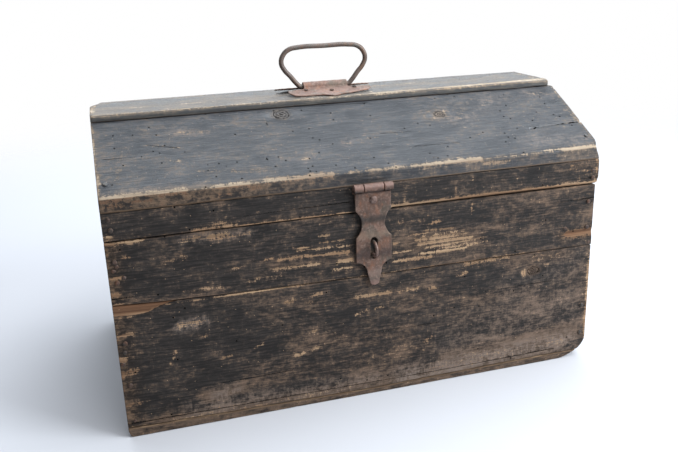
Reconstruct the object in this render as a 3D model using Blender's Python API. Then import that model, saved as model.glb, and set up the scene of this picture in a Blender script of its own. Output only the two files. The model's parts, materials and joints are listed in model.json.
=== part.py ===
"""Wooden carrying chest: nailed plank body, hip lid with a flat ridge board, bail and hasp.

Metres, +Z up, +X to the right along the chest, -Y is the front.
The origin is on the floor under the middle of the body.
"""
import math

import bmesh
import bpy
from mathutils import Matrix, Vector

GAP = 0.0003

# Body
LENGTH = 0.480
DEPTH = 0.276
BOTTOM_THICK = 0.008
BOTTOM_SPLIT_Y = 0.020
PLANK_THICK = 0.012
END_THICK = 0.014
BODY_TOP = 0.1912
FRONT_JOINT = 0.1285
END_JOINT = 0.104

# Lid
LID_BOTTOM = 0.1918
LID_OVERHANG_RIGHT = 0.0030
EAVES_TOP = 0.2304
RIDGE_UNDER = 0.2782
RIDGE_TOP = 0.2842
RIDGE_WIDTH = 0.084
RIDGE_EDGE_ROUND = 0.0022
SLOPE_THICK = 0.012
SLOPE_END_Y = 0.028

# Nails
SHANK_RADIUS = 0.0010
HOLE_RADIUS = 0.00135
HEAD_RADIUS = 0.0023
HEAD_HEIGHT = 0.0011
FLAT_HEAD_HEIGHT = 0.0005
LEFT_NAIL_Z = {"lower": (0.054, 0.096), "upper": (0.154, 0.173)}
RIGHT_NAIL_Z = {"lower": (0.028, 0.0595), "upper": (0.147, 0.174)}
LID_RAIL_NAIL_Z = (0.202, 0.199)
SLOPE_NAIL_IN = 0.016
LONG_NAIL = 0.034
SHORT_NAIL = 0.009
NAIL_SIDES = 10

# Rear hinges
HINGE_X = 0.150
HINGE_HALF = 0.025
HINGE_SHEET = 0.0016
HINGE_RADIUS = 0.004
HINGE_LEAF_HEIGHT = 0.018
HINGE_KNUCKLE_HALF = 0.0089
HINGE_NAIL_X = 0.016

# Pins and knuckles, the same on the hinges and the hasp
BORE_RADIUS = 0.0020
PIN_RADIUS = 0.0016
KNUCKLE_GAP = 2 * GAP
LUG_LAP = 0.001
KNUCKLE_SIDES = 16
PIN_SIDES = 12
CUT_PAST = 0.002

# Hasp
HASP_X = 0.0013
HASP_AXIS_Z = 0.2154
HASP_RADIUS = 0.0042
HASP_HALF = 0.0190
HASP_KNUCKLE_HALF = 0.0095
HASP_LEAF_SHEET = 0.0012
HASP_LEAF_HALF = 0.0172
HASP_LEAF_LOW = 0.1970
STRAP_BACK = 0.0026
STRAP_SHEET = 0.0016
STRAP_HALF = 0.0176
STRAP_TOP = 0.2106
STRAP_WAIST_TOP = 0.1938
STRAP_WAIST_LOW = 0.1675
STRAP_WAIST_HALF = 0.0113
STRAP_SHOULDER = 0.1428
STRAP_TONGUE_TOP = 0.1320
STRAP_TONGUE_HALF = 0.0070
STRAP_TONGUE_LOW = 0.1222
STRAP_TIP_HALF = 0.0047
STRAP_TIP = 0.1187
SLOT_LOW = 0.1448
SLOT_HIGH = 0.1668
SLOT_HALF = 0.0035
RIVET_Z = 0.2036
RIVET_RADIUS = 0.0038
RIVET_HEIGHT = 0.0018
RIVET_SHANK = 0.0012
PIN_PROUD = 0.0004
HASP_NAIL_X = 0.0110
HASP_NAIL_Z = 0.2030

# Staple
STAPLE_WIRE = 0.0017
STAPLE_HIGH = 0.1620
STAPLE_LOW = 0.1490
STAPLE_REACH = 0.0118
STAPLE_DEPTH = 0.0100

# Handle
HANDLE_X = -0.0020
BAIL_AXIS_Z = 0.2910
BAIL_WIRE = 0.0025
RIB_HALF = 0.0237
RIB_INNER = 0.0031
PLATE_SHEET = 0.0014
PLATE_FLAT_Y = 0.026
PLATE_FOLD_Y = 0.0042
PLATE_FOLD_RISE = 0.0039
PLATE_REACH_X = 0.060
PLATE_REACH_Y = 0.045
PLATE_CUT_LOW = 0.280
PLATE_CUT_HIGH = 0.300
NOTCH_INNER_Y = 0.0062
NOTCH_OUTER_Y = 0.0100
PLATE_NAILS = ((-0.025, 0.0115), (0.001, 0.0170), (0.027, 0.0115))
BAIL_HALF = (
    (0.0140, 0.2910), (0.0200, 0.2910), (0.0262, 0.2912), (0.0300, 0.2945), (0.0365, 0.3025),
    (0.0425, 0.3095), (0.0452, 0.3165), (0.0430, 0.3240), (0.0370, 0.3293), (0.0270, 0.3312),
)
BAIL_TOP = 0.3314

# The lid is a little longer than the body, and stands past its right end.
LID_LEFT = -LENGTH / 2
LID_RIGHT = LENGTH / 2 + LID_OVERHANG_RIGHT

# Shared joint places
BACK_AXIS_Y = DEPTH / 2 + GAP + HINGE_RADIUS
LID_AXIS = (0.0, BACK_AXIS_Y, (BODY_TOP + LID_BOTTOM) / 2)
HASP_AXIS = (HASP_X, -DEPTH / 2 - GAP - HASP_RADIUS, HASP_AXIS_Z)
BAIL_AXIS = (HANDLE_X, 0.0, BAIL_AXIS_Z)

# Slope of the lid: its outer face runs from the eaves to the ridge board's lower edge.
SLOPE_RUN = DEPTH / 2 - RIDGE_WIDTH / 2
SLOPE_ANGLE = math.atan2(RIDGE_UNDER - EAVES_TOP, SLOPE_RUN)
SLOPE_DROP = SLOPE_THICK / math.cos(SLOPE_ANGLE)


def clear_scene():
    """Remove whatever objects the file opened with."""
    for item in list(bpy.data.objects):
        bpy.data.objects.remove(item, do_unlink=True)


def make_material(name, colour, roughness, metallic):
    """A plain Principled material."""
    material = bpy.data.materials.new(name)
    material.use_nodes = True
    shader = material.node_tree.nodes["Principled BSDF"]
    shader.inputs["Base Color"].default_value = (*colour, 1.0)
    shader.inputs["Roughness"].default_value = roughness
    shader.inputs["Metallic"].default_value = metallic
    return material


def make_pivot(name, place, parent=None):
    """An empty on a joint's axis, which carries the pieces that turn there."""
    pivot = bpy.data.objects.new(name, None)
    pivot.location = Vector(place)
    bpy.context.scene.collection.objects.link(pivot)
    if parent:
        pivot.parent = parent
        pivot.matrix_parent_inverse = Matrix.Translation(-world_place(parent))
    return pivot


def world_place(pivot):
    """Where a pivot stands in the world: every pivot is given its place in world coordinates."""
    return Vector(pivot.location)


def hang(piece, pivot):
    """Parent a piece modelled in world coordinates to a pivot, leaving it where it is."""
    if pivot:
        piece.parent = pivot
        piece.matrix_parent_inverse = Matrix.Translation(-world_place(pivot))


def add_piece(name, shape, material, pivot=None, smooth=False):
    """Turn a bmesh in world coordinates into a named piece."""
    bmesh.ops.recalc_face_normals(shape, faces=shape.faces)
    mesh = bpy.data.meshes.new(name)
    shape.to_mesh(mesh)
    shape.free()
    mesh.materials.append(material)
    if smooth:
        mesh.shade_smooth()
        mesh.set_sharp_from_angle(angle=math.radians(40))
    piece = bpy.data.objects.new(name, mesh)
    bpy.context.scene.collection.objects.link(piece)
    hang(piece, pivot)
    return piece


def add_cutter(name, shape, material):
    """A guide solid for Booleans, never part of the model."""
    cutter = add_piece(name, shape, material)
    cutter.hide_render = True
    cutter.display_type = "WIRE"
    return cutter


def combine(piece, tool, operation):
    """Apply a tool solid to a piece with the exact Boolean solver."""
    step = piece.modifiers.new(operation.lower(), "BOOLEAN")
    step.operation = operation
    step.solver = "EXACT"
    step.object = tool


def corner_on(plane, a, b, along):
    """A point from its two in-plane coordinates and its coordinate along the extrusion."""
    places = {"YZ": (along, a, b), "XZ": (a, along, b), "XY": (a, b, along)}
    return Vector(places[plane])


def prism(outline, low, high, plane, shape=None):
    """Extrude a closed outline between two coordinates on the axis across its plane."""
    shape = shape or bmesh.new()
    corners = [shape.verts.new(corner_on(plane, a, b, low)) for a, b in outline]
    face = shape.faces.new(corners)
    grown = bmesh.ops.extrude_face_region(shape, geom=[face])
    moved = [item for item in grown["geom"] if isinstance(item, bmesh.types.BMVert)]
    bmesh.ops.translate(shape, verts=moved, vec=corner_on(plane, 0.0, 0.0, high - low))
    return shape


def block(low, high, shape=None):
    """A cuboid between two corners."""
    outline = [(low[1], low[2]), (high[1], low[2]), (high[1], high[2]), (low[1], high[2])]
    return prism(outline, low[0], high[0], "YZ", shape)


def rod(start, end, radius, sides, shape=None):
    """A straight round bar from start to end."""
    shape = shape or bmesh.new()
    start, end = Vector(start), Vector(end)
    turn = Vector((0.0, 0.0, 1.0)).rotation_difference(end - start).to_matrix().to_4x4()
    bmesh.ops.create_cone(
        shape,
        cap_ends=True,
        segments=sides,
        radius1=radius,
        radius2=radius,
        depth=(end - start).length,
        matrix=Matrix.Translation((start + end) / 2) @ turn,
    )
    return shape


def turned(profile, sides, place, direction):
    """Spin a (radius, height) profile that starts and ends on its axis, set along a direction."""
    shape = bmesh.new()
    corners = [shape.verts.new((radius, 0.0, height)) for radius, height in profile]
    edges = [shape.edges.new(pair) for pair in zip(corners, corners[1:])]
    bmesh.ops.spin(
        shape,
        geom=corners + edges,
        cent=(0.0, 0.0, 0.0),
        axis=(0.0, 0.0, 1.0),
        angle=math.tau,
        steps=sides,
        use_merge=True,
    )
    bmesh.ops.remove_doubles(shape, verts=shape.verts, dist=1e-6)
    turn = Vector((0.0, 0.0, 1.0)).rotation_difference(Vector(direction)).to_matrix().to_4x4()
    bmesh.ops.transform(shape, verts=shape.verts, matrix=Matrix.Translation(place) @ turn)
    return shape


def bent_wire(name, points, radius, material, pivot=None):
    """A round wire on a smooth curve through its points, with flat ends."""
    curve = bpy.data.curves.new(name, "CURVE")
    curve.dimensions = "3D"
    curve.bevel_depth = radius
    curve.bevel_resolution = 2
    curve.resolution_u = 4
    curve.use_fill_caps = True
    curve.materials.append(material)
    spline = curve.splines.new("BEZIER")
    spline.bezier_points.add(len(points) - 1)
    for knot, point in zip(spline.bezier_points, points):
        knot.co = point
        knot.handle_left_type = "AUTO"
        knot.handle_right_type = "AUTO"
    wire = bpy.data.objects.new(name, curve)
    bpy.context.scene.collection.objects.link(wire)
    hang(wire, pivot)
    return wire


def arc(centre, radius, start, end, steps):
    """Points on an arc, angles in degrees."""
    points = []
    for step in range(steps + 1):
        angle = math.radians(start + (end - start) * step / steps)
        points.append((centre[0] + radius * math.cos(angle), centre[1] + radius * math.sin(angle)))
    return points


def mirrored(half):
    """Close a right-hand half outline by repeating it on the left."""
    return half + [(-across, up) for across, up in reversed(half) if across > 0]


def nail_profile(length, head_height):
    """Domed or flat head, round shank and a short point; height 0 is under the head."""
    return [
        (0.0, head_height),
        (HEAD_RADIUS * 0.7, head_height * 0.8),
        (HEAD_RADIUS, head_height * 0.3),
        (HEAD_RADIUS, 0.0),
        (SHANK_RADIUS, 0.0),
        (SHANK_RADIUS, -length + 2 * SHANK_RADIUS),
        (0.0, -length),
    ]


def drive_nails(prefix, spots, outward, length, boards, materials, pivot=None, flat=False):
    """Set nails at surface points, and drill the boards that they pass through."""
    outward = Vector(outward).normalized()
    head_height = FLAT_HEAD_HEIGHT if flat else HEAD_HEIGHT
    holes = bmesh.new()
    for number, spot in enumerate(spots, start=1):
        spot = Vector(spot)
        seat = spot + outward * GAP
        shape = turned(nail_profile(length, head_height), NAIL_SIDES, seat, outward)
        add_piece(f"{prefix}_{number}", shape, materials["nail"], pivot, smooth=True)
        deepest = seat - outward * (length + GAP)
        rod(spot + outward * CUT_PAST, deepest, HOLE_RADIUS, NAIL_SIDES, holes)
    cutter = add_cutter(f"{prefix}_holes", holes, materials["nail"])
    for board in boards:
        combine(board, cutter, "DIFFERENCE")


def slope_height(y):
    """Height of the lid slope's outer face at a distance from the middle."""
    return EAVES_TOP + (DEPTH / 2 - abs(y)) * math.tan(SLOPE_ANGLE)


def slope_under(y):
    """Height just below the slope board's underside."""
    return slope_height(y) - SLOPE_DROP - GAP


def make_body(materials):
    """Bottom boards, front and back planks, and the two-board ends."""
    half_x, half_y = LENGTH / 2, DEPTH / 2
    inner_y = half_y - PLANK_THICK
    wood = materials["painted_wood"]
    boards = {}

    def add(name, low, high):
        boards[name] = add_piece(name, block(low, high), wood)

    add("bottom_board_front", (-half_x, -half_y, 0.0), (half_x, BOTTOM_SPLIT_Y - GAP, BOTTOM_THICK))
    add("bottom_board_back", (-half_x, BOTTOM_SPLIT_Y, 0.0), (half_x, half_y, BOTTOM_THICK))
    floor = BOTTOM_THICK + GAP
    for side, near, far in (("front", -half_y, -inner_y), ("back", inner_y, half_y)):
        add(f"{side}_plank_lower", (-half_x, near, floor), (half_x, far, FRONT_JOINT - GAP))
        add(f"{side}_plank_upper", (-half_x, near, FRONT_JOINT), (half_x, far, BODY_TOP))
    between = inner_y - GAP
    for side, left, right in (("left", -half_x, END_THICK - half_x), ("right", half_x - END_THICK, half_x)):
        add(f"{side}_end_lower", (left, -between, floor), (right, between, END_JOINT - GAP))
        add(f"{side}_end_upper", (left, -between, END_JOINT), (right, between, BODY_TOP))
    return boards


def make_lid(materials, pivot):
    """Rails, gables, sloping boards and the flat ridge board."""
    half_y = DEPTH / 2
    inner_y = half_y - PLANK_THICK
    wood = materials["painted_wood"]
    boards = {}

    def add(name, outline, low=LID_LEFT, high=LID_RIGHT):
        boards[name] = add_piece(name, prism(outline, low, high, "YZ"), wood, pivot)

    seat = RIDGE_UNDER - GAP
    seat_start = half_y - (seat - EAVES_TOP) / math.tan(SLOPE_ANGLE)
    rail = [
        (half_y, LID_BOTTOM),
        (half_y, slope_under(half_y)),
        (inner_y, slope_under(inner_y)),
        (inner_y, LID_BOTTOM),
    ]
    slope = [
        (half_y, slope_height(half_y) - SLOPE_DROP),
        (half_y, EAVES_TOP),
        (seat_start, seat),
        (SLOPE_END_Y, seat),
        (SLOPE_END_Y, slope_height(SLOPE_END_Y) - SLOPE_DROP),
    ]
    for side, sign in (("front", -1), ("back", 1)):
        add(f"lid_rail_{side}", [(sign * y, z) for y, z in rail])
        add(f"lid_slope_{side}", [(sign * y, z) for y, z in slope])

    gable = mirrored([
        (inner_y - GAP, LID_BOTTOM),
        (inner_y - GAP, slope_under(inner_y - GAP)),
        (SLOPE_END_Y, slope_under(SLOPE_END_Y)),
        (SLOPE_END_Y - GAP, seat),
    ])
    add("lid_gable_left", gable, LID_LEFT, LID_LEFT + END_THICK)
    add("lid_gable_right", gable, LID_RIGHT - END_THICK, LID_RIGHT)

    edge = RIDGE_WIDTH / 2 - RIDGE_EDGE_ROUND
    rounded = arc((edge, RIDGE_TOP - RIDGE_EDGE_ROUND), RIDGE_EDGE_ROUND, 0, 90, 4)
    add("ridge_board", mirrored([(RIDGE_WIDTH / 2, RIDGE_UNDER)] + rounded))
    return boards


def nail_carcass(boards, lid_boards, materials, lid_pivot):
    """The long nails that hold the front planks, the lid's front rail and the slope boards."""
    front = -DEPTH / 2
    column = LENGTH / 2 - END_THICK / 2
    lid_columns = (LID_LEFT + END_THICK / 2, LID_RIGHT - END_THICK / 2)
    rows = {
        "left": (-column, LEFT_NAIL_Z),
        "right": (column, RIGHT_NAIL_Z),
    }
    for side, (x, levels) in rows.items():
        for level, heights in levels.items():
            spots = [(x, front, z) for z in heights]
            held = [boards[f"front_plank_{level}"], boards[f"{side}_end_{level}"]]
            prefix = f"front_nail_{side}_{level}"
            drive_nails(prefix, spots, (0, -1, 0), LONG_NAIL, held, materials)

    rail_spots = [(x, front, z) for x, z in zip(lid_columns, LID_RAIL_NAIL_Z)]
    gables = [lid_boards["lid_gable_left"], lid_boards["lid_gable_right"]]
    held = [lid_boards["lid_rail_front"]] + gables
    drive_nails("lid_rail_nail", rail_spots, (0, -1, 0), LONG_NAIL, held, materials, lid_pivot)

    for side, sign in (("front", -1), ("back", 1)):
        y = sign * (DEPTH / 2 - SLOPE_NAIL_IN)
        spots = [(x, y, slope_height(y)) for x in lid_columns]
        outward = (0, sign * math.sin(SLOPE_ANGLE), math.cos(SLOPE_ANGLE))
        held = [lid_boards[f"lid_slope_{side}"]] + gables
        drive_nails(f"lid_slope_nail_{side}", spots, outward, LONG_NAIL, held, materials, lid_pivot)


def knuckled_leaf(name, sheet, lugs, axis, radius, spans, material, pivot=None):
    """A sheet leaf whose lugs curl into knuckles round a pin along X.

    lugs is the (y, z) of a lug's low corner and of its high one; spans are the knuckles' X ranges.
    """
    leaf = add_piece(name, sheet, material, pivot)
    for number, (left, right) in enumerate(spans, start=1):
        lug = block((left, *lugs[0]), (right, *lugs[1]))
        combine(leaf, add_cutter(f"{name}_lug_{number}", lug, material), "UNION")
        tube = rod((left, *axis[1:]), (right, *axis[1:]), radius, KNUCKLE_SIDES)
        combine(leaf, add_cutter(f"{name}_knuckle_{number}", tube, material), "UNION")
    left = spans[0][0] - CUT_PAST
    right = spans[-1][1] + CUT_PAST
    hole = rod((left, *axis[1:]), (right, *axis[1:]), BORE_RADIUS, PIN_SIDES)
    combine(leaf, add_cutter(f"{name}_bore", hole, material), "DIFFERENCE")
    return leaf


def make_pin(name, axis, half, material, pivot=None):
    """A round pin along X, centred on its axis point."""
    pin = rod((axis[0] - half, *axis[1:]), (axis[0] + half, *axis[1:]), PIN_RADIUS, PIN_SIDES)
    return add_piece(name, pin, material, pivot, smooth=True)


def make_hinge(side, x, boards, lid_boards, materials, lid_pivot):
    """One butt hinge on the back: two nailed leaves and a pin."""
    iron = materials["iron"]
    axis = (x, LID_AXIS[1], LID_AXIS[2])
    near = DEPTH / 2 + GAP
    far = near + HINGE_SHEET
    clear = HINGE_RADIUS + KNUCKLE_GAP
    seam = HINGE_KNUCKLE_HALF + KNUCKLE_GAP
    outer_spans = [(x - HINGE_HALF, x - seam), (x + seam, x + HINGE_HALF)]
    inner_spans = [(x - HINGE_KNUCKLE_HALF, x + HINGE_KNUCKLE_HALF)]
    columns = (x - HINGE_NAIL_X, x + HINGE_NAIL_X)

    top = axis[2] - clear
    low = top - HINGE_LEAF_HEIGHT
    sheet = block((x - HINGE_HALF, near, low), (x + HINGE_HALF, far, top))
    lugs = ((near, top - LUG_LAP), (far, axis[2]))
    leaf = knuckled_leaf(f"hinge_{side}_body_leaf", sheet, lugs, axis, HINGE_RADIUS, outer_spans, iron)
    spots = [(column, far, (low + top) / 2) for column in columns]
    held = [leaf, boards["back_plank_upper"]]
    drive_nails(f"hinge_{side}_body_nail", spots, (0, 1, 0), SHORT_NAIL, held, materials)

    low = axis[2] + clear
    top = low + HINGE_LEAF_HEIGHT
    sheet = block((x - HINGE_HALF, near, low), (x + HINGE_HALF, far, top))
    lugs = ((near, axis[2]), (far, low + LUG_LAP))
    name = f"hinge_{side}_lid_leaf"
    leaf = knuckled_leaf(name, sheet, lugs, axis, HINGE_RADIUS, inner_spans, iron, lid_pivot)
    spots = [(column, far, (low + top) / 2) for column in columns]
    held = [leaf, lid_boards["lid_rail_back"]]
    drive_nails(f"hinge_{side}_lid_nail", spots, (0, 1, 0), SHORT_NAIL, held, materials, lid_pivot)

    make_pin(f"hinge_{side}_pin", axis, HINGE_HALF, iron)


def strap_outline():
    """Hasp strap seen from the front: a plate, a waist, a slotted plate and a tongue."""
    half = [(STRAP_HALF, STRAP_TOP), (STRAP_HALF, STRAP_WAIST_TOP)]
    waist_steps = 12
    for step in range(1, waist_steps):
        share = step / waist_steps
        dip = math.sin(math.pi * share) ** 0.75
        z = STRAP_WAIST_TOP + (STRAP_WAIST_LOW - STRAP_WAIST_TOP) * share
        half.append((STRAP_HALF + (STRAP_WAIST_HALF - STRAP_HALF) * dip, z))
    half.append((STRAP_HALF, STRAP_WAIST_LOW))
    shoulder_steps = 6
    for step in range(shoulder_steps + 1):
        angle = math.pi / 2 * step / shoulder_steps
        across = STRAP_HALF - (STRAP_HALF - STRAP_TONGUE_HALF) * math.sin(angle)
        up = STRAP_TONGUE_TOP + (STRAP_SHOULDER - STRAP_TONGUE_TOP) * math.cos(angle)
        half.append((across, up))
    half.append((STRAP_TIP_HALF, STRAP_TONGUE_LOW))
    half.append((STRAP_TIP_HALF * 0.7, STRAP_TIP + 0.0009))
    half.append((0.0, STRAP_TIP))
    return [(HASP_X + across, up) for across, up in mirrored(half)]


def slot_outline():
    """The strap's upright slot with round ends."""
    high = arc((HASP_X, SLOT_HIGH - SLOT_HALF), SLOT_HALF, 0, 180, 8)
    low = arc((HASP_X, SLOT_LOW + SLOT_HALF), SLOT_HALF, 180, 360, 8)
    return high + low


def make_hasp(lid_boards, materials, lid_pivot, hasp_pivot):
    """Fixed leaf and pin on the lid, and the swinging strap with its rivet."""
    x = HASP_X
    iron = materials["iron"]
    front = -DEPTH / 2
    leaf_back = front - GAP
    leaf_front = leaf_back - HASP_LEAF_SHEET
    seam = HASP_KNUCKLE_HALF + KNUCKLE_GAP
    leaf_top = HASP_AXIS_Z - HASP_RADIUS - KNUCKLE_GAP

    left, right = x - HASP_LEAF_HALF, x + HASP_LEAF_HALF
    sheet = block((left, leaf_front, HASP_LEAF_LOW), (right, leaf_back, leaf_top))
    lugs = ((leaf_front, leaf_top - LUG_LAP), (leaf_back, HASP_AXIS_Z))
    spans = [(x - HASP_HALF, x - seam), (x + seam, x + HASP_HALF)]
    leaf = knuckled_leaf("hasp_leaf", sheet, lugs, HASP_AXIS, HASP_RADIUS, spans, iron, lid_pivot)
    spots = [(x + side * HASP_NAIL_X, leaf_front, HASP_NAIL_Z) for side in (-1, 1)]
    held = [leaf, lid_boards["lid_rail_front"]]
    drive_nails("hasp_leaf_nail", spots, (0, -1, 0), SHORT_NAIL, held, materials, lid_pivot, flat=True)
    make_pin("hasp_pin", HASP_AXIS, HASP_HALF + PIN_PROUD, iron, lid_pivot)

    strap_back = front - STRAP_BACK
    strap_front = strap_back - STRAP_SHEET
    sheet = prism(strap_outline(), strap_front, strap_back, "XZ")
    lugs = ((strap_front, STRAP_TOP - LUG_LAP), (strap_back, HASP_AXIS_Z - HASP_RADIUS / 2))
    spans = [(x - HASP_KNUCKLE_HALF, x + HASP_KNUCKLE_HALF)]
    strap = knuckled_leaf("hasp_strap", sheet, lugs, HASP_AXIS, HASP_RADIUS, spans, iron, hasp_pivot)
    slot = prism(slot_outline(), strap_front - CUT_PAST, strap_back + CUT_PAST, "XZ")
    combine(strap, add_cutter("hasp_slot", slot, iron), "DIFFERENCE")
    ends = [(x, y, RIVET_Z) for y in (strap_front - CUT_PAST, strap_back + CUT_PAST)]
    hole = rod(ends[0], ends[1], RIVET_SHANK + GAP, PIN_SIDES)
    combine(strap, add_cutter("hasp_rivet_hole", hole, iron), "DIFFERENCE")

    profile = [
        (0.0, RIVET_HEIGHT),
        (RIVET_RADIUS * 0.5, RIVET_HEIGHT * 0.87),
        (RIVET_RADIUS * 0.87, RIVET_HEIGHT * 0.5),
        (RIVET_RADIUS, 0.0),
        (RIVET_SHANK, 0.0),
        (RIVET_SHANK, -STRAP_SHEET - GAP),
        (0.0, -STRAP_SHEET - GAP),
    ]
    rivet = turned(profile, KNUCKLE_SIDES, (x, strap_front - GAP, RIVET_Z), (0, -1, 0))
    add_piece("hasp_rivet", rivet, iron, hasp_pivot, smooth=True)


def make_staple(boards, materials):
    """A wire loop through the front plank: the strap's slot drops over it."""
    front = -DEPTH / 2
    crown = front - STAPLE_REACH
    middle = (STAPLE_HIGH + STAPLE_LOW) / 2
    half = (STAPLE_HIGH - STAPLE_LOW) / 2
    inside = front + STAPLE_DEPTH
    straight = crown + half
    points = [(HASP_X, inside, STAPLE_HIGH), (HASP_X, front, STAPLE_HIGH)]
    points += [(HASP_X, y, z) for y, z in arc((straight, middle), half, 90, 270, 6)]
    points += [(HASP_X, front, STAPLE_LOW), (HASP_X, inside, STAPLE_LOW)]
    bent_wire("staple", points, STAPLE_WIRE, materials["wire"])
    holes = bmesh.new()
    for z in (STAPLE_HIGH, STAPLE_LOW):
        rod((HASP_X, front - CUT_PAST, z), (HASP_X, inside + GAP, z), STAPLE_WIRE + GAP, PIN_SIDES, holes)
    cutter = add_cutter("staple_holes", holes, materials["wire"])
    combine(boards["front_plank_upper"], cutter, "DIFFERENCE")


def plate_profile():
    """Section across the handle plate: flat edges, rising flanges and a half-round rib."""
    low = RIDGE_TOP + GAP
    rib = (0.0, BAIL_AXIS_Z)
    outer = RIB_INNER + PLATE_SHEET
    under = [(PLATE_REACH_Y, low), (PLATE_FLAT_Y, low), (PLATE_FOLD_Y, low + PLATE_FOLD_RISE)]
    under += arc(rib, RIB_INNER, -18, 90, 6)
    over = arc(rib, outer, 90, -14, 7)
    over += [
        (PLATE_FOLD_Y + 0.0012, low + PLATE_FOLD_RISE + PLATE_SHEET * 0.9),
        (PLATE_FLAT_Y, low + PLATE_SHEET),
        (PLATE_REACH_Y, low + PLATE_SHEET),
    ]
    left_under = [(-y, z) for y, z in reversed(under[:-1])]
    left_over = [(-y, z) for y, z in reversed(over[1:])]
    return under + left_under + left_over + over


def plate_outline():
    """The handle plate seen from above: a lobed front flange and a tailed back flange."""
    front = [
        (-0.0440, -0.0080), (-0.0440, -0.0170), (-0.0400, -0.0240), (-0.0340, -0.0262),
        (-0.0120, -0.0270), (-0.0070, -0.0330), (-0.0035, -0.0365), (0.0015, -0.0368),
        (0.0090, -0.0290), (0.0230, -0.0250), (0.0400, -0.0205), (0.0445, -0.0140),
        (0.0440, -0.0080),
    ]
    back = [(0.0440, 0.0080), (0.0520, 0.0160), (0.0360, 0.0255), (-0.0360, 0.0255), (-0.0530, 0.0150),
            (-0.0440, 0.0080)]
    return front + back


def make_handle(lid_boards, materials, lid_pivot, bail_pivot):
    """Sheet saddle plate on the ridge board, its nails, and the wire bail in its rib."""
    rust = materials["rust"]
    sheet = prism(plate_profile(), -PLATE_REACH_X, PLATE_REACH_X, "YZ")
    plate = add_piece("handle_plate", sheet, rust, lid_pivot)
    outline = prism(plate_outline(), PLATE_CUT_LOW, PLATE_CUT_HIGH, "XY")
    combine(plate, add_cutter("plate_outline", outline, rust), "INTERSECT")
    for name, sign in (("left", -1), ("right", 1)):
        start = HANDLE_X + sign * RIB_HALF
        end = sign * PLATE_REACH_X
        notch = [
            (start, -NOTCH_INNER_Y),
            (end, -NOTCH_OUTER_Y),
            (end, NOTCH_OUTER_Y),
            (start, NOTCH_INNER_Y),
        ]
        cutter = add_cutter(f"plate_notch_{name}", prism(notch, PLATE_CUT_LOW, PLATE_CUT_HIGH, "XY"), rust)
        combine(plate, cutter, "DIFFERENCE")

    rise = PLATE_FOLD_RISE / (PLATE_FLAT_Y - PLATE_FOLD_Y)
    tilt = math.atan(rise)
    for side, sign in (("front", -1), ("back", 1)):
        spots = []
        for x, distance in PLATE_NAILS:
            flange = RIDGE_TOP + GAP + (PLATE_FLAT_Y - distance) * rise
            spots.append((x, sign * distance, flange + PLATE_SHEET / math.cos(tilt)))
        outward = (0, sign * math.sin(tilt), math.cos(tilt))
        held = [plate, lid_boards["ridge_board"]]
        drive_nails(f"handle_nail_{side}", spots, outward, SHORT_NAIL, held, materials, lid_pivot)

    left = [(HANDLE_X - across, 0.0, up) for across, up in BAIL_HALF]
    right = [(HANDLE_X + across, 0.0, up) for across, up in reversed(BAIL_HALF)]
    top = [(HANDLE_X, 0.0, BAIL_TOP)]
    bent_wire("handle_bail", left + top + right, BAIL_WIRE, materials["wire"], bail_pivot)


def main():
    clear_scene()
    materials = {
        "painted_wood": make_material("painted_wood", (0.035, 0.030, 0.027), 0.6, 0.0),
        "iron": make_material("iron", (0.22, 0.13, 0.11), 0.7, 0.6),
        "rust": make_material("rust", (0.36, 0.22, 0.19), 0.8, 0.3),
        "wire": make_material("wire", (0.20, 0.14, 0.12), 0.5, 0.8),
        "nail": make_material("nail", (0.10, 0.07, 0.06), 0.6, 0.7),
    }
    lid_pivot = make_pivot("lid_axis", LID_AXIS)
    hasp_pivot = make_pivot("hasp_axis", HASP_AXIS, lid_pivot)
    bail_pivot = make_pivot("bail_axis", BAIL_AXIS, lid_pivot)
    boards = make_body(materials)
    lid_boards = make_lid(materials, lid_pivot)
    nail_carcass(boards, lid_boards, materials, lid_pivot)
    for side, x in (("left", -HINGE_X), ("right", HINGE_X)):
        make_hinge(side, x, boards, lid_boards, materials, lid_pivot)
    make_hasp(lid_boards, materials, lid_pivot, hasp_pivot)
    make_staple(boards, materials)
    make_handle(lid_boards, materials, lid_pivot, bail_pivot)


main()
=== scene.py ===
"""Looks of the old painted carrying box: worn boards, rusty fittings, pale floor, soft window light.

Metres, +X to the right along the box, -Y is the front, +Z up, as in the CAD model.
"""
import itertools
import json
import math

import bpy
import numpy as np
from mathutils import Matrix, Vector

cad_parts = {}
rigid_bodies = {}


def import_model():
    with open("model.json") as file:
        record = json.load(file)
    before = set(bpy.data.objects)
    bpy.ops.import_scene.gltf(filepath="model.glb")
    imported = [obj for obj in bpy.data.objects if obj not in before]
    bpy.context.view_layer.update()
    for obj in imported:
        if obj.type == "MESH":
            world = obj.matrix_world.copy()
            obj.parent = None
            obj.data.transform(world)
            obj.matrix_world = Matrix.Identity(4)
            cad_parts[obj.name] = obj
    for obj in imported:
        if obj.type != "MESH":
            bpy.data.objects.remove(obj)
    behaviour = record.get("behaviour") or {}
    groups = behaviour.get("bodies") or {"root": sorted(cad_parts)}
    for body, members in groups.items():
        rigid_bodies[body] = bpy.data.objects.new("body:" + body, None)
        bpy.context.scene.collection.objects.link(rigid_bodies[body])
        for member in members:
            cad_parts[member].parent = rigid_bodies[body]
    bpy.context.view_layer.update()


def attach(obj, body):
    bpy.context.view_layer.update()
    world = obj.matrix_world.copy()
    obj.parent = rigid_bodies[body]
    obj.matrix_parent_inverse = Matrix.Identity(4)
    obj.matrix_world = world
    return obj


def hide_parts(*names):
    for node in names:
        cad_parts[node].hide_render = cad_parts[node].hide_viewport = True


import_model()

MM = 0.001

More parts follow.
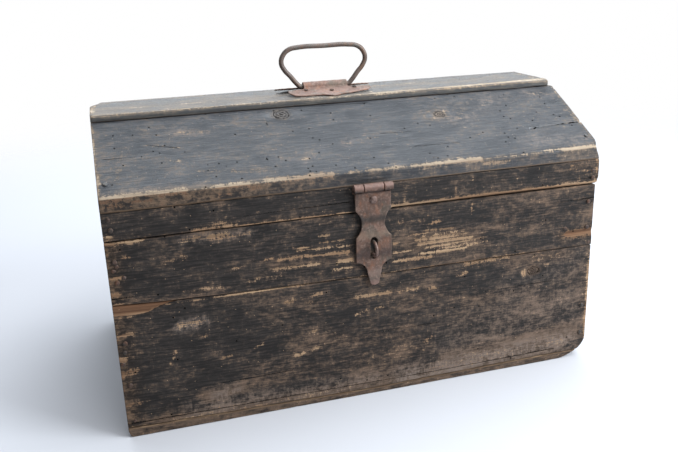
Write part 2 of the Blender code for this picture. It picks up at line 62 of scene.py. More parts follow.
# Boards, as in the CAD model
LENGTH = 0.480
DEPTH = 0.276
GAP = 0.0003
BOTTOM_THICK = 0.008
BOTTOM_SPLIT_Y = 0.020
PLANK_THICK = 0.012
END_THICK = 0.014
BODY_TOP = 0.1912
FRONT_JOINT = 0.1285
END_JOINT = 0.104
LID_BOTTOM = 0.1918
LID_LEFT = -0.240
LID_RIGHT = 0.243
EAVES_TOP = 0.2304
RIDGE_UNDER = 0.2782
RIDGE_TOP = 0.2842
RIDGE_WIDTH = 0.084
SLOPE_THICK = 0.012
SLOPE_END_Y = 0.028
HALF_X = LENGTH / 2
HALF_Y = DEPTH / 2
INNER_Y = HALF_Y - PLANK_THICK - GAP
LID_LENGTH = LID_RIGHT - LID_LEFT
SEAT = RIDGE_UNDER - GAP
SLOPE_ANGLE = math.atan2(RIDGE_UNDER - EAVES_TOP, HALF_Y - RIDGE_WIDTH / 2)
SLOPE_DROP = SLOPE_THICK / math.cos(SLOPE_ANGLE)
SLOPE_LENGTH = (HALF_Y - SLOPE_END_Y) / math.cos(SLOPE_ANGLE)
FRONT_LEVELS = (("lower", BOTTOM_THICK + GAP, FRONT_JOINT - GAP), ("upper", FRONT_JOINT, BODY_TOP))
END_LEVELS = (("lower", BOTTOM_THICK + GAP, END_JOINT - GAP), ("upper", END_JOINT, BODY_TOP))

# Fittings, as in the CAD model; the bail's half curve is (distance from its middle, height)
HANDLE_X = -0.002
BAIL_WIRE = 0.0025
BAIL_HALF = (
    (0.0140, 0.2910), (0.0200, 0.2910), (0.0262, 0.2912), (0.0300, 0.2945), (0.0365, 0.3025),
    (0.0425, 0.3095), (0.0452, 0.3165), (0.0430, 0.3240), (0.0370, 0.3293), (0.0270, 0.3312),
)
BAIL_TOP = 0.3314
HASP_X = 0.0013
STAPLE_WIRE = 0.0015
STAPLE_HIGH = 0.1620
STAPLE_LOW = 0.1490
STAPLE_REACH = 0.0118
STAPLE_DEPTH = 0.0100

# Camera, fitted to the box's corners
CAMERA_PLACE = Vector((-0.2220, -0.8001, 0.4080))
CAMERA_RIGHT = Vector((0.95738, -0.28699, -0.03247))
CAMERA_UP = Vector((0.11950, 0.29127, 0.94915))
CAMERA_FORWARD = Vector((0.26294, 0.91258, -0.31315))
CAMERA_LENS = 41.68
SENSOR_WIDTH = 36.0
CAMERA_NEAR = 0.01

# The floor fades out between these distances from the box, into a plain white backdrop
FLOOR_FADE = 0.75
FLOOR_END = 1.7
FLOOR_COLOUR = (0.57, 0.57, 0.60)
FLOOR_ROUGHNESS = 0.85
AMBIENT_COLOUR = (0.88, 0.94, 1.0)
AMBIENT_STRENGTH = 0.22

# From here to the nail heads, the tables and the chip's depth are in millimetres.
# Marks worn through the paint: from (x, z) to (x, z), half width, strength
FRONT_MARKS = (
    (-50, 172.6, -41, 173.2, 1.2, 0.9), (-52, 166.9, -25, 165.9, 1, 0.85),
    (-74, 163.6, -62, 164.2, 1.6, 0.85), (-72, 161.8, -23, 160.2, 1.3, 0.85),
    (-90, 155.4, -51, 155.3, 1.6, 0.9), (-48, 154.4, -22, 154.6, 1.8, 0.9),
    (-105, 157, -94, 157.6, 1.2, 0.8), (-96, 146.6, -53, 146.2, 1.5, 0.9),
    (-34, 145.6, -20, 146.4, 2.2, 0.9), (-56, 136.9, -20, 138.4, 1.3, 0.85),
    (-131, 153, -126, 153, 1.4, 0.8), (-118, 139, -87, 139, 2.4, 0.5), (-174, 185, -158, 186, 2.6, 0.65),
    (-151, 185, -136, 185.5, 3.3, 0.85), (-134, 184.6, -115, 185, 2, 0.6),
    (-239, 189.6, -208, 189.8, 1.6, 0.85), (-225, 176.6, -221, 176.6, 1.8, 0.75),
    (-194, 167, -172, 170, 3, 0.42), (-237, 158, -226, 158.6, 1.8, 0.8), (-239, 143, -232, 143, 1.8, 0.9),
    (-238, 133.5, -231, 133.5, 1.3, 0.9), (-175, 137, -144, 137, 2.6, 0.42),
    (44, 158.5, 98, 157.5, 2.6, 0.5), (50, 144.5, 104, 145, 2.2, 0.45), (54, 165, 84, 164.4, 1.1, 0.9),
    (38, 162.2, 56, 162.2, 0.9, 0.8), (60, 160.2, 96, 160.4, 0.9, 0.75), (43, 156.4, 86, 156.1, 1.2, 1),
    (47, 152.2, 103, 152.4, 1.2, 1.05), (56, 148.2, 92, 148.6, 1, 0.95), (90, 149, 120, 149.8, 1.1, 0.8),
    (22, 147, 41, 147.2, 1, 0.9), (70, 145, 120, 145.8, 0.7, 0.7), (48, 141.8, 98, 141.9, 1.3, 0.95),
    (22, 138.6, 63, 138.6, 1.1, 0.95), (59, 171.6, 71, 173.2, 2, 0.75), (88, 156, 99, 157.2, 1.5, 0.7),
    (22, 155.9, 26, 155.9, 1.2, 0.8), (103, 176, 103.4, 187, 0.8, 0.8),
    (212, 141.4, 241, 141.8, 3.4, 1.3), (212, 137.6, 240, 137.9, 0.9, 1), (25, 178, 60, 176, 5, 0.28),
    (-197, 127.4, -60, 127.7, 0.7, 0.75), (-60, 127.8, 165, 127.7, 0.5, 0.5),
    (-186, 104.6, -163, 106, 3.4, 0.58), (-166, 90.9, -161, 90.9, 1.9, 0.75),
    (-188, 84, -192, 75, 0.9, 0.75), (-192, 75, -197, 66, 0.9, 0.75), (-85, 112.2, -77, 113.4, 1.8, 0.8),
    (-117, 71, -110, 74, 2.2, 0.6), (-148, 66.4, -139, 66.8, 1.3, 0.8), (-63, 78, -58, 78.4, 1.6, 0.8),
    (-78, 56.4, -69, 56.9, 1.6, 0.85), (-62, 60, -55, 60.6, 1.6, 0.75), (-65, 108, -60, 108, 1.8, 0.8),
    (-60, 115.4, -51, 116, 1.6, 0.8), (-239, 122, -226, 120.8, 0.6, 1),
    (-226, 120.8, -213, 121.1, 0.6, 1), (-238, 103.4, -224, 104.4, 1.8, 0.9),
    (-240, 80, -233, 80, 2.4, 0.95), (-239, 65, -225, 68, 3.4, 0.7), (-236, 33.5, -222, 34.2, 2.2, 0.65),
    (-240, 4, -224, 4, 2.8, 0.85), (-17, 106.6, 20, 107.2, 1.8, 0.85), (28, 106, 47, 106.8, 1.9, 0.62),
    (60.5, 104.3, 65.5, 104.3, 2, 0.9), (2, 92.2, 12, 92.8, 1.4, 0.85), (-16, 89, -7, 91, 1.9, 0.7),
    (54, 47, 61, 52, 2.2, 0.7), (89, 113.4, 100, 116, 2.2, 0.6), (98, 125, 143, 126, 3.6, 0.62),
    (162, 105, 187, 109, 4.6, 0.42), (175, 121, 202, 121, 4.5, 0.42), (239, 22, 238.4, 113, 1.6, 0.75),
    (0, 40, 60, 46, 8, 0.2), (60, 16, 210, 20, 6, 0.26), (-200, 10, 0, 11, 3, 0.26),
    (-239, 12, -239, 120, 4, 0.20), (-239, 134, -239, 186, 4, 0.20), (238, 24, 238, 118, 3, 0.36),
)
LID_FRONT_MARKS = (
    (-164, 193, -126, 193.6, 2.2, 0.85), (-146, 196.4, -138, 196.4, 2.8, 0.7),
    (-126, 192.4, -20, 192.4, 1, 0.85), (-240, 195, -234, 196, 2.8, 0.85),
    (20, 192.6, 243, 192.8, 2.3, 1.5), (102.5, 207, 102.8, 213, 0.8, 0.85), (34, 198, 36, 212, 1.6, 0.5),
    (45, 200, 45.5, 209, 1, 0.5), (86, 196, 86.3, 204, 1.2, 0.6), (212, 213, 240, 203, 7, 0.36),
    (240, 203, 240, 223, 2, 0.7), (150, 205, 150, 212, 1, 0.5),
)
# Marks on the front sloping board: (x, distance up the slope); below zero is its front edge
SLOPE_MARKS = (
    (-240, 0, 243, 0, 0.9, 0.44), (-238, 1.2, -168, 0.8, 3, 0.80), (-140, 0.8, -112, 0.5, 2.8, 0.82),
    (-96, 1.6, -34, 1.2, 3.2, 0.88), (-18, 1, 32, 0.5, 2.2, 0.72), (43, 0.6, 112, 0.4, 3, 0.94),
    (115, -0.4, 190, -0.4, 1, 0.50), (180, 1.6, 206, 1.8, 1.8, 0.72), (203, 1, 243, 0.6, 3, 0.90),
    (-239, -2.6, -222, -3, 1.6, 0.72), (-215, -4.5, -196, -5, 0.9, 0.6),
    (-190, -2.4, -168, -2.6, 1.1, 0.6), (-236, -7.5, -214, -8, 0.9, 0.55),
    (-118, -3.4, -104, -3.8, 1.5, 0.55), (-150, -8, -120, -8.4, 0.8, 0.5),
    (116, -5, 143, -5.4, 1.8, 0.85), (-240, 10, -239, 118, 1.6, 0.55), (-240, 4, -238, 30, 2.4, 0.75),
    (241, 4, 241, 112, 1.2, 0.50), (-165, 81.5, -136, 78, 2, 0.42), (-193, 67, -166, 59, 0.9, 0.5),
    (-176, 41, -165, 40, 1.6, 0.5), (-152, 23, -135, 21, 1.8, 0.55), (-124, 19, -89, 13, 1.7, 0.52),
    (-57, 25.5, -51, 25, 1.7, 0.8), (-12, 43, -8, 42.4, 1.4, 0.8), (13, 48.4, 23, 47.2, 0.9, 0.7),
    (90, 70, 104, 78, 3.5, 0.42), (116, 66, 124, 80, 3, 0.42), (150, 84, 165, 95, 3.2, 0.36),
    (205, 98, 232, 93, 3, 0.5), (237, 70, 240, 48, 2, 0.55), (-225, 20, -215, 60, 5, 0.25),
)
# Marks on the ridge board: (x, y)
RIDGE_MARKS = (
    (-240, -38.5, 60, -38.5, 1.6, 0.66), (40, -36, 110, -34, 4.5, 0.74), (116, -35, 236, -31, 5.5, 0.82),
    (-30, -28, 40, -26, 4, 0.45), (-238, -20, -236, 20, 3, 0.6), (-200, -10, -120, -8, 2, 0.45),
    (40, 10, 120, 12, 3, 0.4), (234, -25, 236, 20, 3, 0.5),
)

# Broad areas rubbed to brown, the same way
FRONT_RUBS = (
    (79, 20, 215, 30, 14, 1.1), (100, 85, 180, 87, 9, 0.6), (-166, 27, -133, 31, 8, 0.9),
    (-205, 10, 210, 12, 10, 0.75), (-80, 70, 30, 60, 16, 0.45), (90, 60, 200, 60, 25, 0.4),
    (130, 168, 235, 170, 18, 0.4), (-100, 100, 60, 112, 10, 0.32), (150, 118, 215, 118, 9, 0.55),
    (20, 150, 120, 150, 12, 0.3), (110, 40, 220, 60, 30, 0.5), (-20, 20, 220, 22, 12, 0.6),
    (-238, 14, -236, 120, 6, 0.25), (-238, 130, -236, 188, 6, 0.2), (40, 154, 106, 152, 10, 0.9),
    (-95, 150, -25, 150, 8, 0.4), (150, 50, 225, 95, 22, 0.5), (-60, 150, 120, 152, 14, 0.3),
    (-120, 40, 60, 36, 14, 0.4), (30, 92, 90, 96, 12, 0.35),
)
LID_FRONT_RUBS = ((-170, 194, 40, 194, 3, 0.1), (90, 205, 240, 205, 12, 0.3))
SLOPE_RUBS = (
    (-240, -5, -150, -5, 9, 0.35), (-150, -6, -40, -6, 6, 0.22), (-40, -6, 243, -6, 6, 0.1),
    (-240, 3, -150, 3, 5, 0.5), (200, -4, 243, -4, 6, 0.6), (-160, 82, -130, 78, 9, 0.3),
    (90, 72, 130, 80, 14, 0.3), (-150, 22, -90, 16, 7, 0.3), (-235, 60, -120, 55, 45, 0.16),
)
RIDGE_RUBS = ((-240, -34, 243, -34, 7, 0.4), (-60, 0, 200, 8, 14, 0.35), (-220, -12, -60, -8, 20, 0.6))

# Dry dust in the wood, the same way
FRONT_DUST = (
    (30, 12, 215, 20, 11, 0.62), (90, 40, 215, 60, 26, 0.20), (-180, 16, 0, 14, 8, 0.4),
    (150, 85, 225, 110, 18, 0.16), (-174, 185, -115, 185, 4, 0.35), (-185, 104, -163, 106, 5, 0.6),
    (-155, 27, -140, 29, 7, 0.5),
)
SLOPE_DUST = (
    (112, 62, 166, 94, 10, 0.5), (205, 98, 232, 93, 5, 0.6), (-165, 82, -130, 78, 5, 0.5),
    (95, 70, 104, 80, 5, 0.5), (-238, 6, -150, 6, 3, 0.4), (-12, 40, -6, 48, 4, 0.6),
    (170, 20, 240, 12, 7, 0.4), (-55, 22, -48, 27, 4, 0.5),
)

# Where worms have bored the slope, the same way
SLOPE_WORMS = (
    (-139, 23, -134, 30, 7, 0.45), (-48, 27, -42, 35, 7, 0.5), (-59, 8, -47, 10, 6, 0.5),
    (-74, 18, -72, 18, 4, 0.6), (-208, 86, -206, 86, 4, 0.7), (60, 10, 70, 12, 5, 0.4),
    (150, 20, 160, 26, 6, 0.4), (-240, 20, 240, 60, 60, 0.04),
)

# Knots: middle, half width, half height on the marks' own plane
SLOPE_KNOTS = ((-61.8, 96, 9.5, 8.5), (98, 74, 7.0, 6.0))
FRONT_KNOTS = ((173, 107, 9.0, 5.5),)

# Hollows broken out of the wood, with a depth for strength, and the redder wood around one
FRONT_HOLLOWS = ((212, 141, 243, 141.4, 3.2, 1.3),)
HOLLOW_WARM = ((206, 141, 243, 141.4, 5.5, 1.0),)
SLOPE_HOLLOWS = ((-193, 67, -165, 55, 0.9, 0.35),)

# The long chip off the lower front plank's top left corner: its lower line, (x, z)
CHIP_LINE = (
    (-240, 122.4), (-226, 121.2), (-213, 121.5), (-208.5, 122.7), (-203, 125.2), (-196, 127.4),
    (-186, 129.1), (-176, 130.4),
)
CHIP_DEPTH = 1.4

# How far the joints between the front boards stand above their CAD height: (x, rise)
JOINT_RISE = ((-240, 4.3), (-216, 3.1), (-195, 2.0), (-91, -0.5), (-13, -1.4), (99, -1.4), (240, -1.8))
BOTTOM_RISE = ((-240, 1.7), (-16, -2.4), (205, -0.4), (240, -0.4))
LEVEL = ((-240, 0.0), (240, 0.0))

# The body's bottom front right corner is worn to a quarter ellipse, the left one less: (width, height)
RIGHT_CORNER = (39.5, 23.0)
LEFT_CORNER = (5.0, 8.0)
CORNER_FADE = 0.070
# Where along x, from the middle, the boards begin to be drawn in to the worn corners
PLANK_DRAWN_RIGHT = 0.180
DRAWN_FROM = 0.225
RIDGE_DRAWN_FROM = 0.200

# Cracks along the grain: from (x, z) to (x, z), half width at each end; the slope's first is cut in too
SLOPE_CRACKS = (
    (184, 38.6, 243, 41.6, 0.74, 1.15), (54, 28, 101, 27.4, 0.28, 0.12), (27, 52, 59, 51.4, 0.25, 0.1),
    (-193, 67.2, -165, 58.6, 0.15, 0.4), (-20, 105, 30, 103.5, 0.1, 0.3),
    (-232, 52, -205, 51.2, 0.35, 0.1),
)
CRACK_DEPTH = 0.0045
FRONT_CRACKS = (
    (-240, 139.2, -215, 139.6, 0.45, 0.1), (196, 176.5, 240, 177.4, 0.1, 0.4),
    (-150, 40.2, -82, 41, 0.15, 0.25), (118, 92, 196, 92.8, 0.1, 0.3), (-240, 14.6, 60, 12.2, 0.35, 0.25),
    (60, 12.2, 205, 13.6, 0.25, 0.35), (-120, 201, -20, 202.6, 0.1, 0.3),
    (208, 199, 243, 198.4, 0.1, 0.4), (0, 66, 70, 66.6, 0.1, 0.25),
)

# Nail heads beside the CAD model's nails, on the front: (x, z), and a head's (share of radius, height)
BODY_NAILS = (
    (-235, 165), (-232, 169), (-227, 158), (-234, 87), (-237, 75.5), (-233, 17), (208, 148), (236, 130),
)
LID_NAILS = ((236, 206), (-234, 211))
NAIL_RINGS = ((0.0, 0.55), (0.55, 0.5), (0.9, 0.28), (1.0, 0.0), (1.0, -0.9))
NAIL_SIDES = 12
NAIL_RADIUS = 0.0019

# Mesh spacing: near a board's arrises in millimetres, between them in metres (along, across), and
# through the board; then the cell of the fittings' meshes
CLOSE_STEPS = (0.0, 0.4, 0.8, 1.3, 2.0, 3.0, 4.5, 7.0, 11.0)
PLAIN_STEPS = (0.005, 0.004)
FRONT_STEPS = (0.0028, 0.0013)
SLOPE_STEPS = (0.0030, 0.0018)
RIDGE_STEPS = (0.0035, 0.0025)
DEEP_STEP = 0.004
VOXEL = 0.0005

# How far from an arris the paint is worn through, and rubbed
ARRIS_WORN = 0.0014
ARRIS_RUBBED = 0.006

# Numbers that scatter the cells of the value noise
HASH_AXES = (12.9898, 78.233, 37.719)
HASH_SEED = 4.1414
HASH_SCALE = 43758.5453
HASH_START = 31.7

# Wood colours; a pair runs from its first to its second
DUST_COLOUR = (0.235, 0.190, 0.165)
RED_WOOD = ((0.195, 0.098, 0.054), (0.105, 0.050, 0.029))
WARM_BROWN = ((0.017, 0.011, 0.008), (0.185, 0.118, 0.073))
WARM_PAINT = (0.024, 0.017, 0.013)
INSIDE_WOOD = ((0.25, 0.165, 0.100), (0.105, 0.066, 0.040))
INSIDE_RINGS = (0.085, 0.050, 0.030)
# Worm holes and cracks are painted near black: the painted shade inside them
HOLE_SHADE_COLOUR = (0.006, 0.005, 0.004)
FRONT_WOOD = dict(
    black=(0.012, 0.010, 0.0092), dusty=(0.038, 0.031, 0.027), brown=(0.155, 0.101, 0.069),
    pale=(0.43, 0.288, 0.175), deep=(0.29, 0.175, 0.100), gloss=0.52, shine=0.20, clouds=1.0,
    cracks=FRONT_CRACKS, knots=FRONT_KNOTS,
)
LID_WOOD = dict(
    black=(0.018, 0.020, 0.025), dusty=(0.058, 0.060, 0.067), brown=(0.140, 0.105, 0.078),
    pale=(0.41, 0.315, 0.222), deep=(0.30, 0.215, 0.145), gloss=0.36, shine=0.5, clouds=1.1,
    cracks=SLOPE_CRACKS, knots=SLOPE_KNOTS, soft=0.13,
)
RIDGE_WOOD = dict(
    black=(0.040, 0.040, 0.042), dusty=(0.088, 0.078, 0.066), brown=(0.185, 0.142, 0.105),
    pale=(0.60, 0.48, 0.35), deep=(0.40, 0.29, 0.19), gloss=0.44, shine=0.42, clouds=1.0, soft=0.09,
)

# Level bands of painted light and shade on the hasp: painted shade at the waist, above the tongue and under
# the barrel, where they face down; painted highlight below the waist, on the tongue and on top of the
# barrel, where they face up: height, half width, share, colour
STRAP_PAINTED_LIGHT_BANDS = (
    (0.1845, 0.0062, 0.88, (0.030, 0.023, 0.018)), (0.1500, 0.0065, 0.72, (0.036, 0.021, 0.017)),
    (0.1700, 0.0060, 0.35, (0.24, 0.17, 0.12)), (0.1310, 0.0090, 0.45, (0.25, 0.17, 0.135)),
    (0.1205, 0.0055, 0.55, (0.26, 0.150, 0.125)), (0.2172, 0.0040, 0.55, (0.24, 0.138, 0.113)),
    (0.2118, 0.0028, 0.85, (0.020, 0.012, 0.010)),
)
# Iron: dark, rust, pale scale, shine, then pitting, roughness and bands of painted light and shade, where
# they are not the usual ones
IRONS = {
    "iron": ((0.085, 0.050, 0.039), (0.165, 0.100, 0.080), (0.25, 0.175, 0.150), 0.30),
    "strap_iron": (
        (0.060, 0.034, 0.024), (0.136, 0.073, 0.050), (0.200, 0.130, 0.099), 0.20, 1.0, (0.48, 0.72),
        STRAP_PAINTED_LIGHT_BANDS,
    ),
    "rust": ((0.15, 0.083, 0.061), (0.255, 0.155, 0.121), (0.355, 0.250, 0.205), 0.20),
    "wire": ((0.100, 0.071, 0.059), (0.130, 0.094, 0.078), (0.150, 0.114, 0.097), 0.2, 0.1, (0.44, 0.50)),
    "loop": ((0.12, 0.075, 0.06), (0.21, 0.135, 0.11), (0.32, 0.24, 0.21), 0.5, 0.4, (0.4, 0.55)),
    "nail": ((0.035, 0.024, 0.020), (0.085, 0.045, 0.03), (0.15, 0.09, 0.065), 0.4),
    "painted_nail": (
        (0.045, 0.044, 0.045), (0.060, 0.055, 0.052), (0.11, 0.095, 0.08), 0.0, 0.3, (0.36, 0.50),
    ),
}
# CAD nodes that keep their shape, by the start of their names; a later line goes over an earlier one
DRESSED = (
    ("iron", ("hinge_", "hasp_")),
    ("nail", (
        "front_nail", "lid_rail_nail", "handle_nail", "hasp_leaf_nail", "hinge_left_body_nail",
        "hinge_left_lid_nail", "hinge_right_body_nail", "hinge_right_lid_nail",
    )),
    ("painted_nail", ("lid_slope_nail",)),
)

# Lights: name, place, aim, width, height, power, colour
LIGHTS = (
    ("window", (0.45, 2.3, 1.15), (0.1, 0.0, 0.2), 3.4, 1.5, 51, (0.87, 0.94, 1.0)),
    ("ceiling", (0.25, 0.65, 2.1), (0.0, 0.0, 0.2), 2.2, 1.6, 40, (0.86, 0.93, 1.0)),
    ("front_ceiling", (0.6, -0.8, 2.2), (0.15, -0.5, 0.0), 2.4, 0.9, 38, (0.94, 0.97, 1.0)),
    ("room", (1.1, -0.95, 0.85), (0.2, 0.0, 0.12), 0.8, 0.7, 33, (0.88, 0.95, 1.0)),
)


def value_noise(points, scale, seed):
    """Smooth random values from 0 to 1; scale is the size of a cell in metres along each axis."""
    where = points / np.asarray(scale) + HASH_START
    cell = np.floor(where)
    part = where - cell
    part = part * part * (3 - 2 * part)
    total = np.zeros(len(points))
    for corner in itertools.product((0, 1), repeat=3):
        key = (cell + corner) @ np.array(HASH_AXES) + seed * HASH_SEED
        value = np.sin(key) * HASH_SCALE
        weight = np.prod(np.where(corner, part, 1 - part), axis=1)
        total += weight * (value - np.floor(value))
    return total


def smooth_step(value, low, high):
    """0 below low, 1 above high, smooth between."""
    share = np.clip((value - low) / (high - low), 0, 1)
    return share * share * (3 - 2 * share)


def fading(value, low, high):
    """1 below low, 0 above high, smooth between."""
    return 1 - smooth_step(value, low, high)


def mark_strength(spots, marks):
    """The strongest of the marks at each spot, in metres on the marks' own plane."""
    strongest = np.zeros(len(spots))
    for x0, z0, x1, z1, half_width, strength in marks:
        start = np.array((x0, z0)) * MM
        run = np.array((x1, z1)) * MM - start
        share = np.clip(((spots - start) @ run) / (run @ run), 0, 1)
        away = np.linalg.norm(spots - start - share[:, None] * run, axis=1)
        fall = np.exp(-0.8 * (away / (half_width * MM)) ** 2)
        strongest = np.maximum(strongest, strength * fall)
    return strongest


def slope_height(y):
    """Height of the lid slope's outer face."""
    return EAVES_TOP + (HALF_Y - abs(y)) * math.tan(SLOPE_ANGLE)


def slope_under(y):
    """Height just below a slope board's underside."""
    return slope_height(y) - SLOPE_DROP - GAP


def column(*parts):
    """Row coordinates from arrays."""
    return np.stack(parts, axis=1)


def spaced(length, step, extra=()):
    """Places from 0 to length, closer together at both ends."""
    near = [place * MM for place in CLOSE_STEPS if place * MM < length * 0.45]
    count = max(2, round((length - 2 * near[-1]) / step) + 1)
    middle = np.linspace(near[-1], length - near[-1], count)
    places = near + list(middle) + [length - place for place in near] + list(extra)
    return np.unique(np.round(places, 6))


def box_surface(places):
    """Points and quads of a box's skin on a lattice of places along its three sides."""
    counts = [len(side) for side in places]
    number = np.full(counts, -1)
    grid = np.stack(np.meshgrid(*places, indexing="ij"), axis=-1)
    skin = np.zeros(counts, dtype=bool)
    for side in range(3):
        index = [slice(None)] * 3
        index[side] = [0, -1]
        skin[tuple(index)] = True
    number[skin] = np.arange(skin.sum())
    quads = []
    for side, end in itertools.product(range(3), (0, -1)):
        face = np.take(number, end, axis=side)
        corners = [face[:-1, :-1], face[1:, :-1], face[1:, 1:], face[:-1, 1:]]
        turned = (end == 0) == (side != 1)
        quads.append(np.stack(corners[::-1] if turned else corners, axis=-1).reshape(-1, 4))
    return grid[skin], np.concatenate(quads)


def add_object(name, data):
    """A new object in the scene."""
    made = bpy.data.objects.new(name, data)
    bpy.context.scene.collection.objects.link(made)
    return made


def make_mesh_piece(name, points, quads):
    """A smooth-shaded piece with its faces turned outward."""
    first, second, third = (points[quads[:, corner]] for corner in range(3))
    if np.einsum("ij,ij->", first, np.cross(second, third)) < 0:
        quads = quads[:, ::-1]
    mesh = bpy.data.meshes.new(name)
    mesh.from_pydata(points.tolist(), [], quads.tolist())
    mesh.shade_smooth()
    return add_object(name, mesh)


def tune(thing, **settings):
    """Set several of a thing's properties, and hand it back."""
    for key, value in settings.items():
        setattr(thing, key, value)
    return thing


def finish_piece(piece, node, body, material):
    """Give a piece its material, hide the CAD node that it replaces, if any, and tie it to its body."""
    piece.data.materials.clear()
    piece.data.materials.append(material)
    if node:
        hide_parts(node)
    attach(piece, body)


def knot_effect(spots, knots):
    """How far the knots push the grain aside, and 1 inside them, fading outside."""
    push = np.zeros(len(spots))
    share = np.zeros(len(spots))
    for x, z, half_x, half_z in np.array(knots).reshape(-1, 4) * MM:
        away = (spots - (x, z)) / (half_x, half_z)
        reach = np.linalg.norm(away, axis=1)
        push += np.tanh(away[:, 1] * 2) * 0.8 * half_z * np.exp(-reach ** 2 / 5)
        share = np.maximum(share, fading(reach, 0.9, 1.5))
    return push, share


def worn_skin(flat, size, seed, look):
    """The worn skin, and how far out each point lies: 1 on the painted face, 0 on the back."""
    radius = 0.00045 + 0.0012 * value_noise(flat, 0.022, seed) ** 2
    chips = value_noise(flat, (0.012, 0.010, 0.010), seed + 5)
    radius += 0.0018 * smooth_step(chips, 0.80, 0.95)
    if "radius" in look:
        radius = look["radius"](flat, radius)
    radius = np.minimum(radius, min(size) * 0.48)[:, None]
    core = np.clip(flat, radius, np.asarray(size) - radius)
    out = flat - core
    points = core + out * radius / np.linalg.norm(out, axis=1, keepdims=True)

    outer = 1 - points[:, 2] / size[2]
    wave = value_noise(points, (0.09, 0.022, 1.0), seed + 1) - 0.3
    ridges = value_noise(points, (0.060, 0.0035, 1.0), seed + 2)
    points[:, 2] += outer * (0.00035 * wave + 0.00018 * ridges)
    across = points[:, 1] / size[1] - 0.5
    bow = value_noise(points * (1, 0, 0), 0.055, seed + 3)
    points[:, 1] -= 0.0005 * bow * np.sign(across) * (2 * across) ** 2
    return points, outer


def wear_values(flat, spots, size, seed, look):
    """What the board's material asks for at each point: numbers, or vectors for grain and place."""
    edge = np.sort(np.minimum(flat, np.asarray(size) - flat), axis=1)[:, 1]
    push, knots = knot_effect(spots, look.get("knots", ()))
    cover = look["cover"](flat) if "cover" in look else 0.0
    worn = look.get("wear", 0.0) + look.get("arris", 0.45) * np.exp(-edge / ARRIS_WORN) - cover
    rubbed = look.get("rub", 0.1) + 0.35 * knots + 0.35 * np.exp(-edge / ARRIS_RUBBED) - cover
    values = {
        "grain": flat - column(0 * push, push, 0 * push) + (seed * 1.37, seed * 0.61, 0.0),
        "wear": worn + mark_strength(spots, look.get("marks", ())),
        "rub": rubbed + mark_strength(spots, look.get("rubs", ())),
        "painted": smooth_step(size[2] - flat[:, 2], 0.3 * MM, look.get("bare_edge", 2.0) * MM),
        "warm": look["warm"](spots) if "warm" in look else 0 * push,
        "worms": 0.012 + mark_strength(spots, look.get("worms", ())),
        "dust": mark_strength(spots, look.get("dust", ())),
    }
    if "spots" in look:
        values["place"] = column(*spots.T, 0 * push)
    if "chip" in look:
        values["chip"] = look["chip"](spots)
    return values


def make_board(name, body, size, place, material, seed, look):
    """One worn board that replaces the CAD node of the same name.

    Its own coordinates run along the grain, across the face and in from the painted face;
    place turns them into row coordinates. look holds what is special to this board.
    """
    along, across = look.get("steps", PLAIN_STEPS)
    flat, quads = box_surface((
        spaced(size[0], along, look.get("extra_along", ())),
        spaced(size[1], across, look.get("extra_across", ())),
        spaced(size[2], DEEP_STEP),
    ))
    points, outer = worn_skin(flat, size, seed, look)
    row = column(*place(*points.T))
    spots = look["spots"](flat, row) if "spots" in look else flat[:, :2] - np.asarray(size[:2]) / 2
    if "sink" in look:
        points[:, 2] += outer * look["sink"](spots)
        row = column(*place(*points.T))
    if "worn_back" in look:
        look["worn_back"](row)
    piece = make_mesh_piece(f"worn_{name}", row, quads)
    for key, values in wear_values(flat, spots, size, seed, look).items():
        kind, field = ("FLOAT", "value") if values.ndim == 1 else ("FLOAT_VECTOR", "vector")
        attribute = piece.data.attributes.new(key, kind, "POINT")
        attribute.data.foreach_set(field, values.astype(np.float32).ravel())
    finish_piece(piece, name, body, material)


def front_spots(flat, row):
    """(x, z) of each point."""
    return row[:, (0, 2)]


def ridge_spots(flat, row):
    """(x, y) of each point."""
    return row[:, (0, 1)]


def slope_spots(flat, row):
    """(x, distance up the slope), below zero on the board's front edge."""
    return column(row[:, 0], flat[:, 1] - flat[:, 2])


def scattered(seed, size, count, widen=1.0):
    """Random worn marks over a board whose face is not described in detail."""
    random = np.random.default_rng(seed)
    marks = []
    for number in range(count):
        x = random.uniform(-0.5, 0.5) * size[0] / MM
        z = random.uniform(-0.5, 0.5) * size[1] / MM
        length = random.uniform(2, 26)
        lift = random.uniform(-0.03, 0.03) * length
        width = random.uniform(0.9, 2.4) * widen
        marks.append((x, z, x + length, z + lift, width, random.uniform(0.35, 0.9)))
    return marks


def rise_at(x, line):
    """A joint's rise at each x."""
    places, rises = np.array(line).T * MM
    return np.interp(x, places, rises)


def pull_in(row, side, start, end, amount):
    """Draw one end of a board in: not at all at start, by the full amount at end."""
    share = np.clip((side * row[:, 0] - start) / (end - start), 0, 1)
    row[:, 0] -= side * share * amount


def corner_loss(z, corner):
    """How far a quarter ellipse of (width, height) cuts into the edge at each height."""
    width, height = np.array(corner) * MM
    up = np.clip(1 - z / height, 0, 1)
    return width * (1 - np.sqrt(1 - up ** 2))


def body_worn_back(row):
    """Wear the body's bottom front corners round, less towards the back."""
    fade = fading(row[:, 1], -HALF_Y + 0.004, -HALF_Y + CORNER_FADE)
    right = fade * corner_loss(row[:, 2], RIGHT_CORNER)
    left = fade * corner_loss(row[:, 2], LEFT_CORNER)
    start = row[:, 0].min() if row[:, 0].min() > 0 else PLANK_DRAWN_RIGHT
    pull_in(row, 1, start, HALF_X, right)
    pull_in(row, -1, DRAWN_FROM, HALF_X, left)


def lid_worn_back(row):
    """Round the lid's front right corner at the eaves."""
    near = smooth_step(row[:, 2], 0.214, EAVES_TOP) * fading(row[:, 1], -HALF_Y, -HALF_Y + 0.012)
    pull_in(row, 1, DRAWN_FROM, LID_RIGHT, 0.0035 * near)


